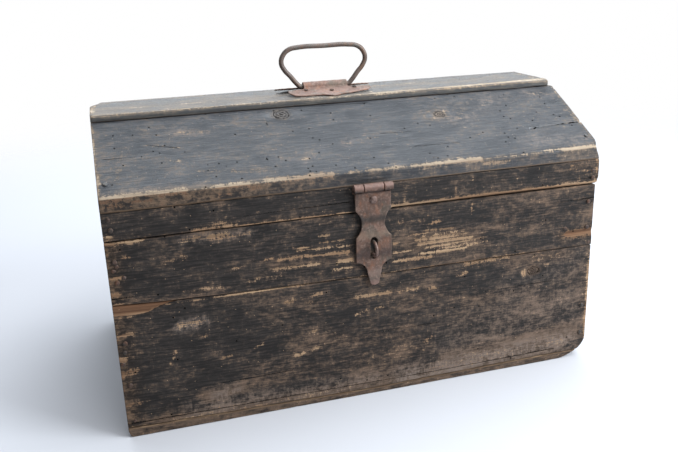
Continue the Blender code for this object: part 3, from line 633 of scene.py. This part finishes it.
def ridge_worn_back(row):
    """Worn ends: front right corner rounded, back left corner cut."""
    front = np.clip(1 - (row[:, 1] + RIDGE_WIDTH / 2) / 0.014, 0, 1)
    pull_in(row, 1, RIDGE_DRAWN_FROM, LID_RIGHT, 0.0004 + 0.0080 * (1 - np.sqrt(1 - front ** 2)))
    pull_in(row, -1, RIDGE_DRAWN_FROM, -LID_LEFT, 0.010 * smooth_step(row[:, 1], 0.016, 0.042))


def lower_outer(flat):
    """1 at the arris between a board's face and its lower side, 0 away from it."""
    return fading(flat[:, 1], 0.004, 0.006) * fading(flat[:, 2], 0.004, 0.006)


def rail_radius(flat, radius):
    """The front rail's lower arris is chamfered to the right of the hasp."""
    return radius + 0.0022 * lower_outer(flat) * smooth_step(flat[:, 0] + LID_LEFT, 0.018, 0.024)


def eaves_radius(flat, radius):
    """The front arris of the front sloping board is worn round, unevenly."""
    return radius + lower_outer(flat) * (0.0006 + 0.0022 * value_noise(flat, (0.05, 1.0, 1.0), 77))


def ridge_radius(flat, radius):
    """The ridge board's front arris is worn away towards its left end."""
    front = fading(flat[:, 1], 0.006, 0.010) * fading(flat[:, 2], 0.003, 0.005)
    return radius + front * (0.0016 + 0.0012 * fading(flat[:, 0], 0.02, 0.20))


def ridge_cover(flat):
    """The ridge board's front edge keeps its paint."""
    front = fading(flat[:, 1], 0.0005, 0.0020)
    low = smooth_step(flat[:, 2], 0.0035, 0.0055)
    return 0.42 * front * smooth_step(flat[:, 2], 0.0008, 0.0022) + 0.8 * low


def chip_height(spots):
    """Millimetres above the lower line of the long chip off the lower plank's top left corner."""
    places, heights = np.array(CHIP_LINE).T * MM
    low = np.interp(spots[:, 0], places, heights)
    joint = FRONT_JOINT + rise_at(spots[:, 0], JOINT_RISE)
    past = np.maximum(spots[:, 0] - places[-1], 0)
    above = np.where(spots[:, 1] < joint, spots[:, 1] - low, -1)
    return np.clip((above - past) / MM, -3, 3)


def chip_share(spots):
    """1 inside the long chip, 0 outside it."""
    return smooth_step(chip_height(spots), -0.2, 0.7)


def front_sink(spots):
    """Depth of the hollows in the front planks."""
    return mark_strength(spots, FRONT_HOLLOWS) * MM + CHIP_DEPTH * MM * chip_share(spots)


def slope_sink(spots):
    """The main crack and the scar in the front sloping board."""
    x0, z0, x1, z1, start, end = np.array(SLOPE_CRACKS[0]) * MM
    share = (spots[:, 0] - x0) / (x1 - x0)
    opening = start + share * (end - start)
    away = np.abs(spots[:, 1] - z0 - share * (z1 - z0))
    crack = CRACK_DEPTH * fading(away, opening * 0.5, opening + 0.2 * MM)
    return np.where(share > 0, crack, 0) + mark_strength(spots, SLOPE_HOLLOWS) * MM


def front_warm(spots):
    """Redder wood inside the chips and at the left end."""
    left = 0.6 * smooth_step(-spots[:, 0], 0.215, 0.238)
    return np.clip(mark_strength(spots, HOLLOW_WARM) + chip_share(spots) + left, 0, 1)


def rail_warm(spots):
    """Slightly redder wood along the front rail's lower edge."""
    return 0.2 * fading(spots[:, 1], 0.195, 0.198)


def slope_warm(spots):
    """Browner wood on the left of the board's front edge."""
    return fading(spots[:, 1], -1.5 * MM, 0) * (0.3 + 0.7 * fading(spots[:, 0], -0.15, 0.05))


def make_front_planks(material):
    lines = (BOTTOM_RISE, JOINT_RISE, LEVEL)
    look = dict(
        steps=FRONT_STEPS, spots=front_spots, marks=FRONT_MARKS, rubs=FRONT_RUBS, dust=FRONT_DUST,
        knots=FRONT_KNOTS, sink=front_sink, chip=chip_height, warm=front_warm,
        worn_back=body_worn_back, arris=0.12,
    )
    for number, (level, low, high) in enumerate(FRONT_LEVELS):
        def place(along, up, deep, number=number, low=low, high=high):
            x = along - HALF_X
            share = up / (high - low)
            rise = (1 - share) * rise_at(x, lines[number]) + share * rise_at(x, lines[number + 1])
            return x, deep - HALF_Y, up + low + rise

        size = (LENGTH, high - low, PLANK_THICK)
        make_board(f"front_plank_{level}", "box", size, place, material, 8, look)


def make_back_planks(material):
    for number, (level, low, high) in enumerate(FRONT_LEVELS):
        def place(along, up, deep, low=low):
            return along - HALF_X, HALF_Y - deep, up + low

        size = (LENGTH, high - low, PLANK_THICK)
        look = {"marks": scattered(40 + number, size, 26), "rubs": scattered(50 + number, size, 8, 5)}
        make_board(f"back_plank_{level}", "box", size, place, material, 17 + number, look)


def make_ends(material):
    boards = itertools.product((("left", -1), ("right", 1)), END_LEVELS)
    for number, ((side, sign), (level, low, high)) in enumerate(boards, 1):
        def place(along, up, deep, low=low, sign=sign):
            return sign * (HALF_X - deep), along - INNER_Y, up + low

        size = (2 * INNER_Y, high - low, END_THICK)
        look = {
            "marks": scattered(60 + number, size, 22),
            "rubs": scattered(70 + number, size, 6, 6),
            "worn_back": body_worn_back,
        }
        make_board(f"{side}_end_{level}", "box", size, place, material, 23 + number, look)


def make_bottom(material):
    for side, near, far, seed in (
        ("front", -HALF_Y, BOTTOM_SPLIT_Y - GAP, 31),
        ("back", BOTTOM_SPLIT_Y, HALF_Y, 33),
    ):
        def place(along, across, height, near=near):
            x = along - HALF_X
            y = across + near
            rise = fading(y, -HALF_Y, 0) * rise_at(x, BOTTOM_RISE) * height / BOTTOM_THICK
            return x, y, height + rise

        size = (LENGTH, far - near, BOTTOM_THICK)
        look = {"wear": 0.05, "rub": 0.55, "arris": 0.12, "worn_back": body_worn_back}
        make_board(f"bottom_board_{side}", "box", size, place, material, seed, look)


def make_rails(material):
    height = slope_under(HALF_Y) - LID_BOTTOM
    size = (LID_LENGTH, height, PLANK_THICK)
    front = dict(
        steps=FRONT_STEPS, spots=front_spots, marks=LID_FRONT_MARKS, rubs=LID_FRONT_RUBS, rub=-0.06,
        radius=rail_radius, warm=rail_warm, worn_back=lid_worn_back, arris=0.06,
    )
    back = {"marks": scattered(44, size, 14), "rubs": scattered(45, size, 5, 4)}
    for side, sign, seed, look in (("front", -1, 41, front), ("back", 1, 43, back)):
        def place(along, up, deep, sign=sign):
            y = HALF_Y - deep
            return along + LID_LEFT, sign * y, LID_BOTTOM + up / height * (slope_under(y) - LID_BOTTOM)

        make_board(f"lid_rail_{side}", "lid", size, place, material, seed, look)


def make_slopes(material):
    size = (LID_LENGTH, SLOPE_LENGTH, SLOPE_THICK)
    front = dict(
        steps=SLOPE_STEPS, extra_across=np.linspace(38.0, 42.5, 19) * MM, spots=slope_spots,
        marks=SLOPE_MARKS, rubs=SLOPE_RUBS, dust=SLOPE_DUST, sink=slope_sink, knots=SLOPE_KNOTS,
        worms=SLOPE_WORMS, warm=slope_warm, radius=eaves_radius, worn_back=lid_worn_back, arris=0.08,
    )
    back = {"marks": scattered(54, size, 18), "rubs": scattered(55, size, 6, 5)}
    for side, sign, seed, look in (("front", -1, 51, front), ("back", 1, 53, back)):
        def place(along, up, deep, sign=sign):
            y = HALF_Y - up * math.cos(SLOPE_ANGLE)
            top = np.minimum(slope_height(y), SEAT)
            under = slope_height(y) - SLOPE_DROP
            return along + LID_LEFT, sign * y, top - deep / SLOPE_THICK * (top - under)

        make_board(f"lid_slope_{side}", "lid", size, place, material, seed, look)


def make_gables(material):
    height = SEAT - LID_BOTTOM
    size = (2 * INNER_Y, height, END_THICK)
    steps = (-SLOPE_END_Y, GAP - SLOPE_END_Y, SLOPE_END_Y - GAP, SLOPE_END_Y)
    look = {
        "marks": scattered(64, size, 20),
        "rubs": scattered(65, size, 6, 5),
        "extra_along": [INNER_Y + step for step in steps],
    }
    for side, sign, edge, seed in (("left", -1, -LID_LEFT, 61), ("right", 1, LID_RIGHT, 63)):
        def place(along, up, deep, sign=sign, edge=edge):
            y = along - INNER_Y
            top = np.where(np.abs(y) < SLOPE_END_Y - GAP / 2, SEAT, slope_under(y))
            return sign * (edge - deep), y, LID_BOTTOM + up / height * (top - LID_BOTTOM)

        make_board(f"lid_gable_{side}", "lid", size, place, material, seed, look)


def make_ridge(material):
    def place(along, across, deep):
        return along + LID_LEFT, across - RIDGE_WIDTH / 2, RIDGE_TOP - deep

    look = dict(
        steps=RIDGE_STEPS, spots=ridge_spots, marks=RIDGE_MARKS, rubs=RIDGE_RUBS, radius=ridge_radius,
        worn_back=ridge_worn_back, cover=ridge_cover, arris=0.25, rub=0.35, bare_edge=0.35,
    )
    size = (LID_LENGTH, RIDGE_WIDTH, RIDGE_TOP - RIDGE_UNDER)
    make_board("ridge_board", "lid", size, place, material, 71, look)


class Graph:
    """Short ways to add and join the nodes of one material or world."""

    def __init__(self, holder):
        holder.use_nodes = True
        self.holder = holder
        self.tree = holder.node_tree
        self.shader = self.tree.nodes.get("Principled BSDF")

    def put(self, socket, value):
        if isinstance(value, bpy.types.NodeSocket):
            self.tree.links.new(value, socket)
        elif isinstance(value, tuple) and len(value) == 3 and socket.type == "RGBA":
            socket.default_value = (*value, 1.0)
        else:
            socket.default_value = value

    def node(self, kind, inputs=(), **settings):
        made = tune(self.tree.nodes.new("ShaderNode" + kind), **settings)
        for key, value in dict(inputs).items():
            self.put(made.inputs[key], value)
        return made

    def set(self, **values):
        for key, value in values.items():
            self.put(self.shader.inputs[key.replace("_", " ")], value)

    def number(self, name):
        return self.node("Attribute", attribute_name=name).outputs["Fac"]

    def vector(self, name):
        return self.node("Attribute", attribute_name=name).outputs["Vector"]

    def position(self):
        return self.node("TexCoord").outputs["Object"]

    def axis(self, vector, name):
        return self.node("SeparateXYZ", {"Vector": vector}).outputs[name]

    def length(self, vector):
        return self.node("VectorMath", {0: vector}, operation="LENGTH").outputs["Value"]

    def stretch(self, vector, factors):
        """A vector times one factor, or times one for each axis."""
        if isinstance(factors, float):
            factors = (factors,) * 3
        return self.node("VectorMath", {0: vector, 1: factors}, operation="MULTIPLY").outputs[0]

    def noise(self, vector, factors, detail=3.0, rough=0.55, bend=0.0):
        where = self.stretch(vector, factors)
        inputs = {"Vector": where, "Scale": 1.0, "Detail": detail, "Roughness": rough, "Distortion": bend}
        return self.node("TexNoise", inputs).outputs["Fac"]

    def maths(self, operation, first, second=0.0, third=0.0):
        return self.node("Math", {0: first, 1: second, 2: third}, operation=operation).outputs[0]

    def times(self, first, second):
        return self.maths("MULTIPLY", first, second)

    def most(self, first, second):
        return self.maths("MAXIMUM", first, second)

    def distance(self, first, second):
        return self.maths("ABSOLUTE", self.maths("SUBTRACT", first, second))

    def total(self, *values):
        """The sum of the values; a pair is a noise, recentred on zero, and its amount."""
        result = None
        for value in values:
            if isinstance(value, tuple):
                value = self.times(self.maths("SUBTRACT", value[0], 0.5), value[1])
            result = value if result is None else self.maths("ADD", result, value)
        return result

    def weighted(self, *pairs):
        """The sum of values, each times its own weight."""
        return self.total(*(self.times(value, weight) for value, weight in pairs))

    def step(self, value, low, high, start=0.0, end=1.0):
        inputs = {"Value": value, "From Min": low, "From Max": high, "To Min": start, "To Max": end}
        return self.node("MapRange", inputs, interpolation_type="SMOOTHSTEP").outputs[0]

    def mix(self, share, first, second):
        """A colour between two colours."""
        made = self.node("Mix", data_type="RGBA")
        for index, value in ((0, share), (6, first), (7, second)):
            self.put(made.inputs[index], value)
        return made.outputs[2]

    def blend(self, share, first, second):
        """A number between two numbers."""
        return self.node("Mix", {0: share, 2: first, 3: second}, data_type="FLOAT").outputs[0]

    def bump(self, height, distance, strength=1.0, **normal):
        inputs = {"Height": height, "Distance": distance, "Strength": strength, **normal}
        return self.node("Bump", inputs).outputs["Normal"]


def scaled(colour, *factors):
    """A colour made lighter or darker, by one factor or by one for each part."""
    return tuple(value * factor for value, factor in zip(colour, factors * 3))


def bare_wood(graph, grain, warm, pale, deep):
    """Old dry softwood: rings, fine pores and a drift from pale to deep, redder where it is warm."""
    drift = graph.noise(grain, (9.0, 60.0, 60.0), 2.0)
    rings = graph.noise(grain, (5.0, 420.0, 420.0), 3.0, 0.5, 0.4)
    pores = graph.noise(grain, (22.0, 2600.0, 2600.0), 2.0)
    ground = graph.mix(graph.step(drift, 0.38, 0.62), pale, deep)
    ringed = graph.mix(graph.step(rings, 0.44, 0.68, 0.0, 0.85), ground, scaled(deep, 0.55))
    colour = graph.mix(graph.step(pores, 0.52, 0.75, 0.0, 0.5), ringed, scaled(deep, 0.32))
    red = graph.mix(graph.step(rings, 0.35, 0.65), *RED_WOOD)
    return graph.mix(graph.times(warm, 0.85), colour, red), rings, pores


def inside_wood(graph, aged, rings):
    """Brown wood that was never painted."""
    colour = graph.mix(graph.step(aged, -0.22, 0.12), *INSIDE_WOOD)
    return graph.mix(graph.step(rings, 0.46, 0.70, 0.0, 0.55), colour, INSIDE_RINGS)


def dots(graph, grain, spacing, low, high, chance):
    """Small round spots in a share of the cells of an even scatter over a board's face."""
    inputs = {"Vector": graph.stretch(grain, 1 / spacing), "Scale": 1.0}
    cells = graph.node("TexVoronoi", inputs, voronoi_dimensions="2D").outputs
    near = graph.step(cells["Distance"], low, high, 1.0, 0.0)
    pick = graph.node("SeparateColor", {"Color": cells["Color"]}).outputs["Red"]
    face = graph.step(graph.axis(grain, "Z"), 0.0006, 0.0012, 1.0, 0.0)
    return graph.times(graph.times(near, graph.maths("LESS_THAN", pick, chance)), face)


def crack_lines(graph, place, ragged, cracks):
    """1 on thin cracks that run along the grain and widen from one end to the other."""
    x = graph.axis(place, "X")
    z = graph.total(graph.axis(place, "Y"), (ragged, 0.0016))
    found = 0.0
    for x0, z0, x1, z1, start, end in cracks:
        slant = (z1 - z0) / (x1 - x0)
        line = graph.maths("MULTIPLY_ADD", x, slant, (z0 - slant * x0) * MM)
        width = graph.step(x, x0 * MM, x1 * MM, start * MM, end * MM)
        along = graph.maths("COMPARE", x, (x0 + x1) / 2 * MM, (x1 - x0) / 2 * MM)
        near = graph.maths("LESS_THAN", graph.distance(z, line), width)
        found = graph.most(found, graph.times(near, along))
    return found


def knot_rings(graph, place, ragged, knots):
    """How deep inside a knot each point is, and the dark, broken rings there."""
    inside = 0.0
    rings = 0.0
    for x, z, half_x, half_z in knots:
        middle = {0: place, 1: (x * MM, z * MM, 0.0)}
        away = graph.node("VectorMath", middle, operation="SUBTRACT").outputs[0]
        reach = graph.length(graph.stretch(away, (1 / MM / half_x, 1 / MM / half_z, 0.0)))
        reach = graph.total(reach, (ragged, 1.7))
        within = graph.step(reach, 0.75, 1.15, 1.0, 0.0)
        wave = graph.step(graph.maths("SINE", graph.times(reach, 19.0)), -0.3, 0.7)
        broken = graph.times(wave, graph.step(ragged, 0.34, 0.48, 0.3, 1.0))
        inside = graph.most(inside, within)
        rings = graph.most(rings, graph.times(within, broken))
    return inside, rings


def grain_noises(graph, grain):
    """Clouds, mottle, streaks along the grain, ticks across it, and fine specks."""
    return (
        graph.noise(grain, (22.0, 45.0, 45.0), 4.0, 0.62, 0.8),
        graph.noise(grain, (150.0, 230.0, 230.0), 6.0, 0.70, 0.25),
        graph.noise(grain, (40.0, 700.0, 700.0), 4.0, 0.6),
        graph.noise(grain, (460.0, 120.0, 120.0), 4.0, 0.66, 0.5),
        graph.noise(grain, (600.0, 900.0, 900.0), 2.0, 0.5),
    )


def worn_shares(graph, noises, wear, rub, chip, soft):
    """How far the paint is rubbed thin, the brown rim of bare wood, and where the wood is bare."""
    step, times, total = graph.step, graph.times, graph.total
    cloud, mottle, streaks, ticks, specks = noises
    thin = total(rub, times(wear, 0.5), (cloud, 2.0), (mottle, 2.4), (ticks, 1.0), (streaks, 0.8))
    rubbed = step(thin, 0.05, 1.15)
    ragged = total((streaks, 1.2), (mottle, 1.7), (ticks, 1.5), (specks, 1.1), times(rubbed, 0.16))
    through = total(wear, ragged, (cloud, 0.5))
    chipped = step(total(chip, (mottle, 1.6)), 0.35, 0.75)
    exposed = graph.most(step(through, 0.61 - soft, 0.74 + soft), chipped)
    return rubbed, step(through, 0.36, 0.62, 0.0, 0.8), exposed


def paint_colour(graph, noises, pores, warm, browned, dusted, black, dusty, brown, clouds):
    """Dark paint, brown where it is rubbed, with dust and open pores."""
    mix, step = graph.mix, graph.step
    cloud, mottle, streaks = noises[:3]
    tone = graph.weighted((streaks, 0.45), (mottle, 0.25), (cloud, 0.30 * clouds))
    centre = 0.35 + 0.15 * clouds
    paint = mix(step(tone, centre - 0.09, centre + 0.11), black, dusty)
    browns = mix(step(tone, centre - 0.10, centre + 0.10), scaled(brown, 0.42), brown)
    blotch = graph.weighted((mottle, 0.6), (cloud, 0.4))
    warm_share = graph.times(warm, 0.8)
    browns = mix(warm_share, browns, mix(step(blotch, 0.44, 0.57), *WARM_BROWN))
    colour = mix(browned, mix(warm_share, paint, WARM_PAINT), browns)
    colour = mix(dusted, colour, DUST_COLOUR)
    return mix(step(pores, 0.56, 0.72, 0.0, 0.6), colour, scaled(black, 0.5))


def painted_wood(
    name, black, dusty, brown, pale, deep, gloss, shine, clouds, cracks=(), knots=(), soft=0.0
):
    """Dark paint, worn through to brown and bare wood where the board's own values say."""
    graph = Graph(bpy.data.materials.new(name))
    mix, step, times, most = graph.mix, graph.step, graph.times, graph.most
    grain = graph.vector("grain")
    place = graph.vector("place")
    kept = ("wear", "rub", "painted", "warm", "chip", "dust", "worms")
    wear, rub, painted, warm, chip, dust, worms = map(graph.number, kept)
    noises = grain_noises(graph, grain)
    cloud, mottle, streaks, ticks = noises[:4]
    rubbed, halo, exposed = worn_shares(graph, noises, wear, rub, chip, soft)
    bare, rings, pores = bare_wood(graph, grain, warm, pale, deep)
    dusted = times(dust, step(graph.total((ticks, 0.7), (mottle, 1.3), (cloud, 0.8)), -0.20, 0.22))
    browned = most(rubbed, halo)
    paint = paint_colour(graph, noises, pores, warm, browned, dusted, black, dusty, brown, clouds)

    # Bare wood, knots and chalky specks; worm holes and cracks painted near black, as the painted shade
    # inside them
    outside = mix(exposed, paint, bare)
    knot_lines = 0.0
    if knots:
        inside_knot, knot_lines = knot_rings(graph, place, mottle, knots)
        outside = mix(times(inside_knot, 0.35), outside, brown)
        outside = mix(times(knot_lines, 0.75), outside, scaled(black, 0.6))
    holes = dots(graph, grain, 0.0055, 0.12, 0.17, worms)
    chalk = dots(graph, graph.stretch(grain, (1.0, 1.31, 1.0)), 0.0085, 0.030, 0.055, 0.10)
    outside = mix(times(chalk, 0.75), outside, scaled(pale, 1.3))
    if cracks:
        holes = most(holes, crack_lines(graph, place, mottle, cracks))
    outside = mix(holes, outside, HOLE_SHADE_COLOUR)
    inside = inside_wood(graph, graph.total((cloud, 1.0), (streaks, 0.8), (mottle, 0.6)), rings)

    # Roughness and relief; holes, knot lines and warm wood reflect less, by a share of metal
    rough = graph.blend(times(rubbed, 0.6), step(mottle, 0.3, 0.75, gloss, gloss + 0.20), 0.66)
    rough = graph.blend(exposed, rough, 0.75)
    dull = most(most(holes, times(knot_lines, 0.8)), times(dusted, 0.7))
    rough = graph.blend(dull, rough, 0.95)
    fine = graph.weighted((rings, 0.55), (pores, -0.6), (mottle, 0.7), (exposed, -0.35), (knot_lines, -0.5))
    graph.set(
        Base_Color=mix(painted, inside, outside),
        Roughness=graph.blend(painted, 0.80, rough),
        Metallic=most(most(holes, times(knot_lines, 0.7)), times(warm, 0.55)),
        Specular_IOR_Level=shine,
        Normal=graph.bump(fine, 0.0007, Normal=graph.bump(times(holes, -1.0), 0.004)),
    )
    return graph.holder


def rusty_metal(name, dark, rust, pale, shine, pitting=1.0, rough=(0.48, 0.72), painted_light_bands=()):
    """Iron under brown rust, with pale dry scale, pits and level bands of painted light and shade."""
    graph = Graph(bpy.data.materials.new(name))
    mix, step = graph.mix, graph.step
    place = graph.position()
    patches = graph.noise(place, 95.0, 5.0, 0.62)
    orange = graph.noise(place, (150.0, 150.0, 60.0), 4.0, 0.6)
    grey = graph.noise(place, (75.0, 75.0, -75.0), 4.0, 0.6)
    scale = graph.noise(place, 420.0, 5.0, 0.65)
    pits = graph.noise(place, 1500.0, 3.0, 0.6)
    colour = mix(step(patches, 0.36, 0.62), dark, rust)
    colour = mix(step(orange, 0.52, 0.68, 0.0, 0.7), colour, scaled(rust, 1.3, 0.95, 0.65))
    colour = mix(step(grey, 0.50, 0.64, 0.0, 0.75), colour, scaled(dark, 0.95, 1.35, 1.4))
    colour = mix(step(scale, 0.46, 0.76, 0.0, 0.75), colour, pale)
    colour = mix(step(pits, 0.60, 0.74, 0.0, min(0.7, pitting)), colour, scaled(dark, 0.35))
    # Painted highlight and painted shade in level bands, where bends and the barrel face towards or away
    # from the light
    if painted_light_bands:
        height = graph.total(graph.axis(place, "Z"), (patches, 0.006))
    for middle, half, share, tint in painted_light_bands:
        colour = mix(step(graph.distance(height, middle), 0.0, half, share, 0.0), colour, tint)
    graph.set(
        Base_Color=colour,
        Metallic=step(scale, 0.45, 0.70, shine, shine * 0.2),
        Roughness=step(patches, 0.3, 0.7, *rough),
        Normal=graph.bump(graph.weighted((scale, 0.7), (pits, 0.5)), 0.0004 * pitting, 0.8),
    )
    return graph.holder


def solid_mesh(piece):
    """The piece's mesh as its modifiers or its curve make it, smooth-shaded."""
    graph = bpy.context.evaluated_depsgraph_get()
    mesh = bpy.data.meshes.new_from_object(piece.evaluated_get(graph))
    mesh.shade_smooth()
    return mesh


def work_over(piece, seed, amount, bend=None):
    """Roughen a mesh along its normals, and bend it a little."""
    mesh = piece.data
    points = np.empty(len(mesh.vertices) * 3, dtype=np.float32)
    normals = np.empty_like(points)
    mesh.vertices.foreach_get("co", points)
    mesh.vertex_normals.foreach_get("vector", normals)
    points = points.reshape(-1, 3).astype(float)
    lift = value_noise(points, 0.004, seed) + 0.5 * value_noise(points, 0.0013, seed + 1) - 0.75
    points += normals.reshape(-1, 3) * (amount * lift)[:, None]
    if bend:
        bend(points)
    mesh.vertices.foreach_set("co", points.astype(np.float32).ravel())
    mesh.update()


def strap_bend(points):
    """The hasp strap is a little hollow at the waist and lifts at its tongue."""
    waist = np.exp(-((points[:, 2] - 0.1800) / 0.0055) ** 2)
    shoulder = np.exp(-((points[:, 2] - 0.1480) / 0.0060) ** 2)
    points[:, 1] += 0.0013 * waist + 0.0010 * shoulder


def rusted_copy(name, node, body, material, seed, amount, bend=None):
    """A fine, softly edged and roughened mesh of a CAD node, in its place."""
    piece = add_object(name, bpy.data.objects[node].data.copy())
    tune(piece.modifiers.new("remesh", "REMESH"), mode="VOXEL", voxel_size=VOXEL)
    tune(piece.modifiers.new("smooth", "SMOOTH"), factor=0.5, iterations=2)
    mesh = solid_mesh(piece)
    piece.modifiers.clear()
    piece.data = mesh
    work_over(piece, seed, amount, bend)
    finish_piece(piece, node, body, material)


def round_wire(name, node, body, points, radius, material, seed):
    """A round wire on the CAD model's curve, finer and unevenly rusted."""
    curve = tune(bpy.data.curves.new(name, "CURVE"), dimensions="3D", resolution_u=16)
    tune(curve, bevel_depth=radius, bevel_resolution=7, use_fill_caps=True)
    knots = curve.splines.new("BEZIER").bezier_points
    knots.add(len(points) - 1)
    for knot, point in zip(knots, points):
        tune(knot, co=point, handle_left_type="AUTO", handle_right_type="AUTO")
    holder = add_object(name + "_curve", curve)
    mesh = solid_mesh(holder)
    bpy.data.objects.remove(holder, do_unlink=True)
    piece = add_object(name, mesh)
    work_over(piece, seed, 0.00003)
    finish_piece(piece, node, body, material)


def make_bail(material):
    left = [(HANDLE_X - across, 0.0, up) for across, up in BAIL_HALF]
    right = [(HANDLE_X + across, 0.0, up) for across, up in reversed(BAIL_HALF)]
    points = left + [(HANDLE_X, 0.0, BAIL_TOP)] + right
    round_wire("bail_wire", "handle_bail", "bail", points, BAIL_WIRE, material, 14)


def make_staple(material):
    middle = (STAPLE_HIGH + STAPLE_LOW) / 2
    half = (STAPLE_HIGH - STAPLE_LOW) / 2
    inside = STAPLE_DEPTH - HALF_Y
    straight = half - HALF_Y - STAPLE_REACH
    points = [(HASP_X, inside, STAPLE_HIGH), (HASP_X, -HALF_Y, STAPLE_HIGH)]
    for angle in np.radians(np.arange(90, 271, 30)):
        points.append((HASP_X, straight + half * math.cos(angle), middle + half * math.sin(angle)))
    points += [(HASP_X, -HALF_Y, STAPLE_LOW), (HASP_X, inside, STAPLE_LOW)]
    round_wire("staple_wire", "staple", "box", points, STAPLE_WIRE, material, 15)


def nail_heads(name, spots, body, material):
    """Small hand-made nail heads standing a little proud of the front planks or of the lid's rail."""
    random = np.random.default_rng(9)
    shares, heights = np.array(NAIL_RINGS).T[:, :, None]
    angles = math.tau * np.arange(NAIL_SIDES) / NAIL_SIDES
    heads = []
    for x, z in np.array(spots) * MM:
        squash = random.uniform(0.82, 1.15)
        reach = NAIL_RADIUS * shares * random.uniform(0.94, 1.06, (len(shares), NAIL_SIDES))
        across = x + reach * np.cos(angles) * squash
        out = np.broadcast_to(-HALF_Y - heights * MM, reach.shape)
        heads.append(np.stack((across, out, z + reach * np.sin(angles)), axis=-1))
    number = np.arange(len(spots) * len(shares) * NAIL_SIDES).reshape(-1, len(shares), NAIL_SIDES)
    after = np.roll(number, -1, axis=2)
    quads = np.stack((number[:, :-1], after[:, :-1], after[:, 1:], number[:, 1:]), axis=-1)
    piece = make_mesh_piece(name, np.reshape(heads, (-1, 3)), quads.reshape(-1, 4))
    finish_piece(piece, None, body, material)


def dress_cad(material, starts):
    """Give CAD nodes a material by the start of their names."""
    for item in bpy.data.objects:
        if item.type == "MESH" and item.name.startswith(starts) and not item.hide_render:
            for slot in item.material_slots:
                slot.material = material


def make_camera():
    data = bpy.data.cameras.new("camera")
    data.clip_start = CAMERA_NEAR
    camera = add_object("camera", tune(data, lens=CAMERA_LENS, sensor_width=SENSOR_WIDTH))
    axes = Matrix((CAMERA_RIGHT, CAMERA_UP, -CAMERA_FORWARD)).transposed()
    camera.matrix_world = Matrix.Translation(CAMERA_PLACE) @ axes.to_4x4()
    bpy.context.scene.camera = camera


def make_light(name, place, aim, width, height, power, colour):
    data = bpy.data.lights.new(name, "AREA")
    tune(data, shape="RECTANGLE", size=width, size_y=height, energy=power, color=colour)
    turn = (Vector(aim) - Vector(place)).to_track_quat("-Z", "Y").to_euler()
    tune(add_object(name, data), location=place, rotation_euler=turn, visible_camera=False)


def make_world():
    """Even pale light all round; plain white where the camera looks past the floor."""
    world = bpy.data.worlds.new("world")
    bpy.context.scene.world = world
    graph = Graph(world)
    ambient = graph.tree.nodes["Background"]
    graph.put(ambient.inputs["Color"], AMBIENT_COLOUR)
    graph.put(ambient.inputs["Strength"], AMBIENT_STRENGTH)
    backdrop = graph.node("Background", {"Color": (1.0, 1.0, 1.0), "Strength": 1.0})
    seen = graph.node("LightPath").outputs["Is Camera Ray"]
    mixed = graph.node("MixShader", {0: seen, 1: ambient.outputs[0], 2: backdrop.outputs[0]})
    graph.put(graph.tree.nodes["World Output"].inputs["Surface"], mixed.outputs[0])


def make_floor():
    """A pale floor that fades into the white backdrop some way from the box."""
    mesh = bpy.data.meshes.new("floor")
    corners = [(x * FLOOR_END, y * FLOOR_END, 0) for x, y in ((-1, -1), (1, -1), (1, 1), (-1, 1))]
    mesh.from_pydata(corners, [], [(0, 1, 2, 3)])
    floor = add_object("floor", mesh)
    graph = Graph(bpy.data.materials.new("floor"))
    graph.set(Base_Color=FLOOR_COLOUR, Roughness=FLOOR_ROUGHNESS)
    faded = graph.step(graph.length(graph.position()), FLOOR_FADE, FLOOR_END)
    clear = graph.node("BsdfTransparent").outputs[0]
    fade = graph.node("MixShader", {0: faded, 1: graph.shader.outputs[0], 2: clear})
    graph.put(graph.tree.nodes["Material Output"].inputs["Surface"], fade.outputs[0])
    mesh.materials.append(graph.holder)


def main():
    bpy.context.scene.view_settings.view_transform = "Standard"
    make_camera()
    make_world()
    make_floor()
    for light in LIGHTS:
        make_light(*light)

    front_wood = painted_wood("front_wood", **FRONT_WOOD)
    for make in (make_front_planks, make_back_planks, make_ends, make_bottom, make_rails, make_gables):
        make(front_wood)
    make_slopes(painted_wood("lid_wood", **LID_WOOD))
    make_ridge(painted_wood("ridge_wood", **RIDGE_WOOD))

    irons = {name: rusty_metal(name, *values) for name, values in IRONS.items()}
    strap_iron = irons["strap_iron"]
    rusted_copy("rusted_strap", "hasp_strap", "hasp", strap_iron, 5, 0.0004, strap_bend)
    rusted_copy("rusted_leaf", "hasp_leaf", "lid", strap_iron, 8, 0.0003)
    rusted_copy("rusted_plate", "handle_plate", "lid", irons["rust"], 11, 0.0003)
    make_bail(irons["wire"])
    make_staple(irons["loop"])
    nail_heads("front_nail_heads", BODY_NAILS, "box", irons["nail"])
    nail_heads("lid_nail_heads", LID_NAILS, "lid", irons["nail"])
    for name, starts in DRESSED:
        dress_cad(irons[name], starts)


main()
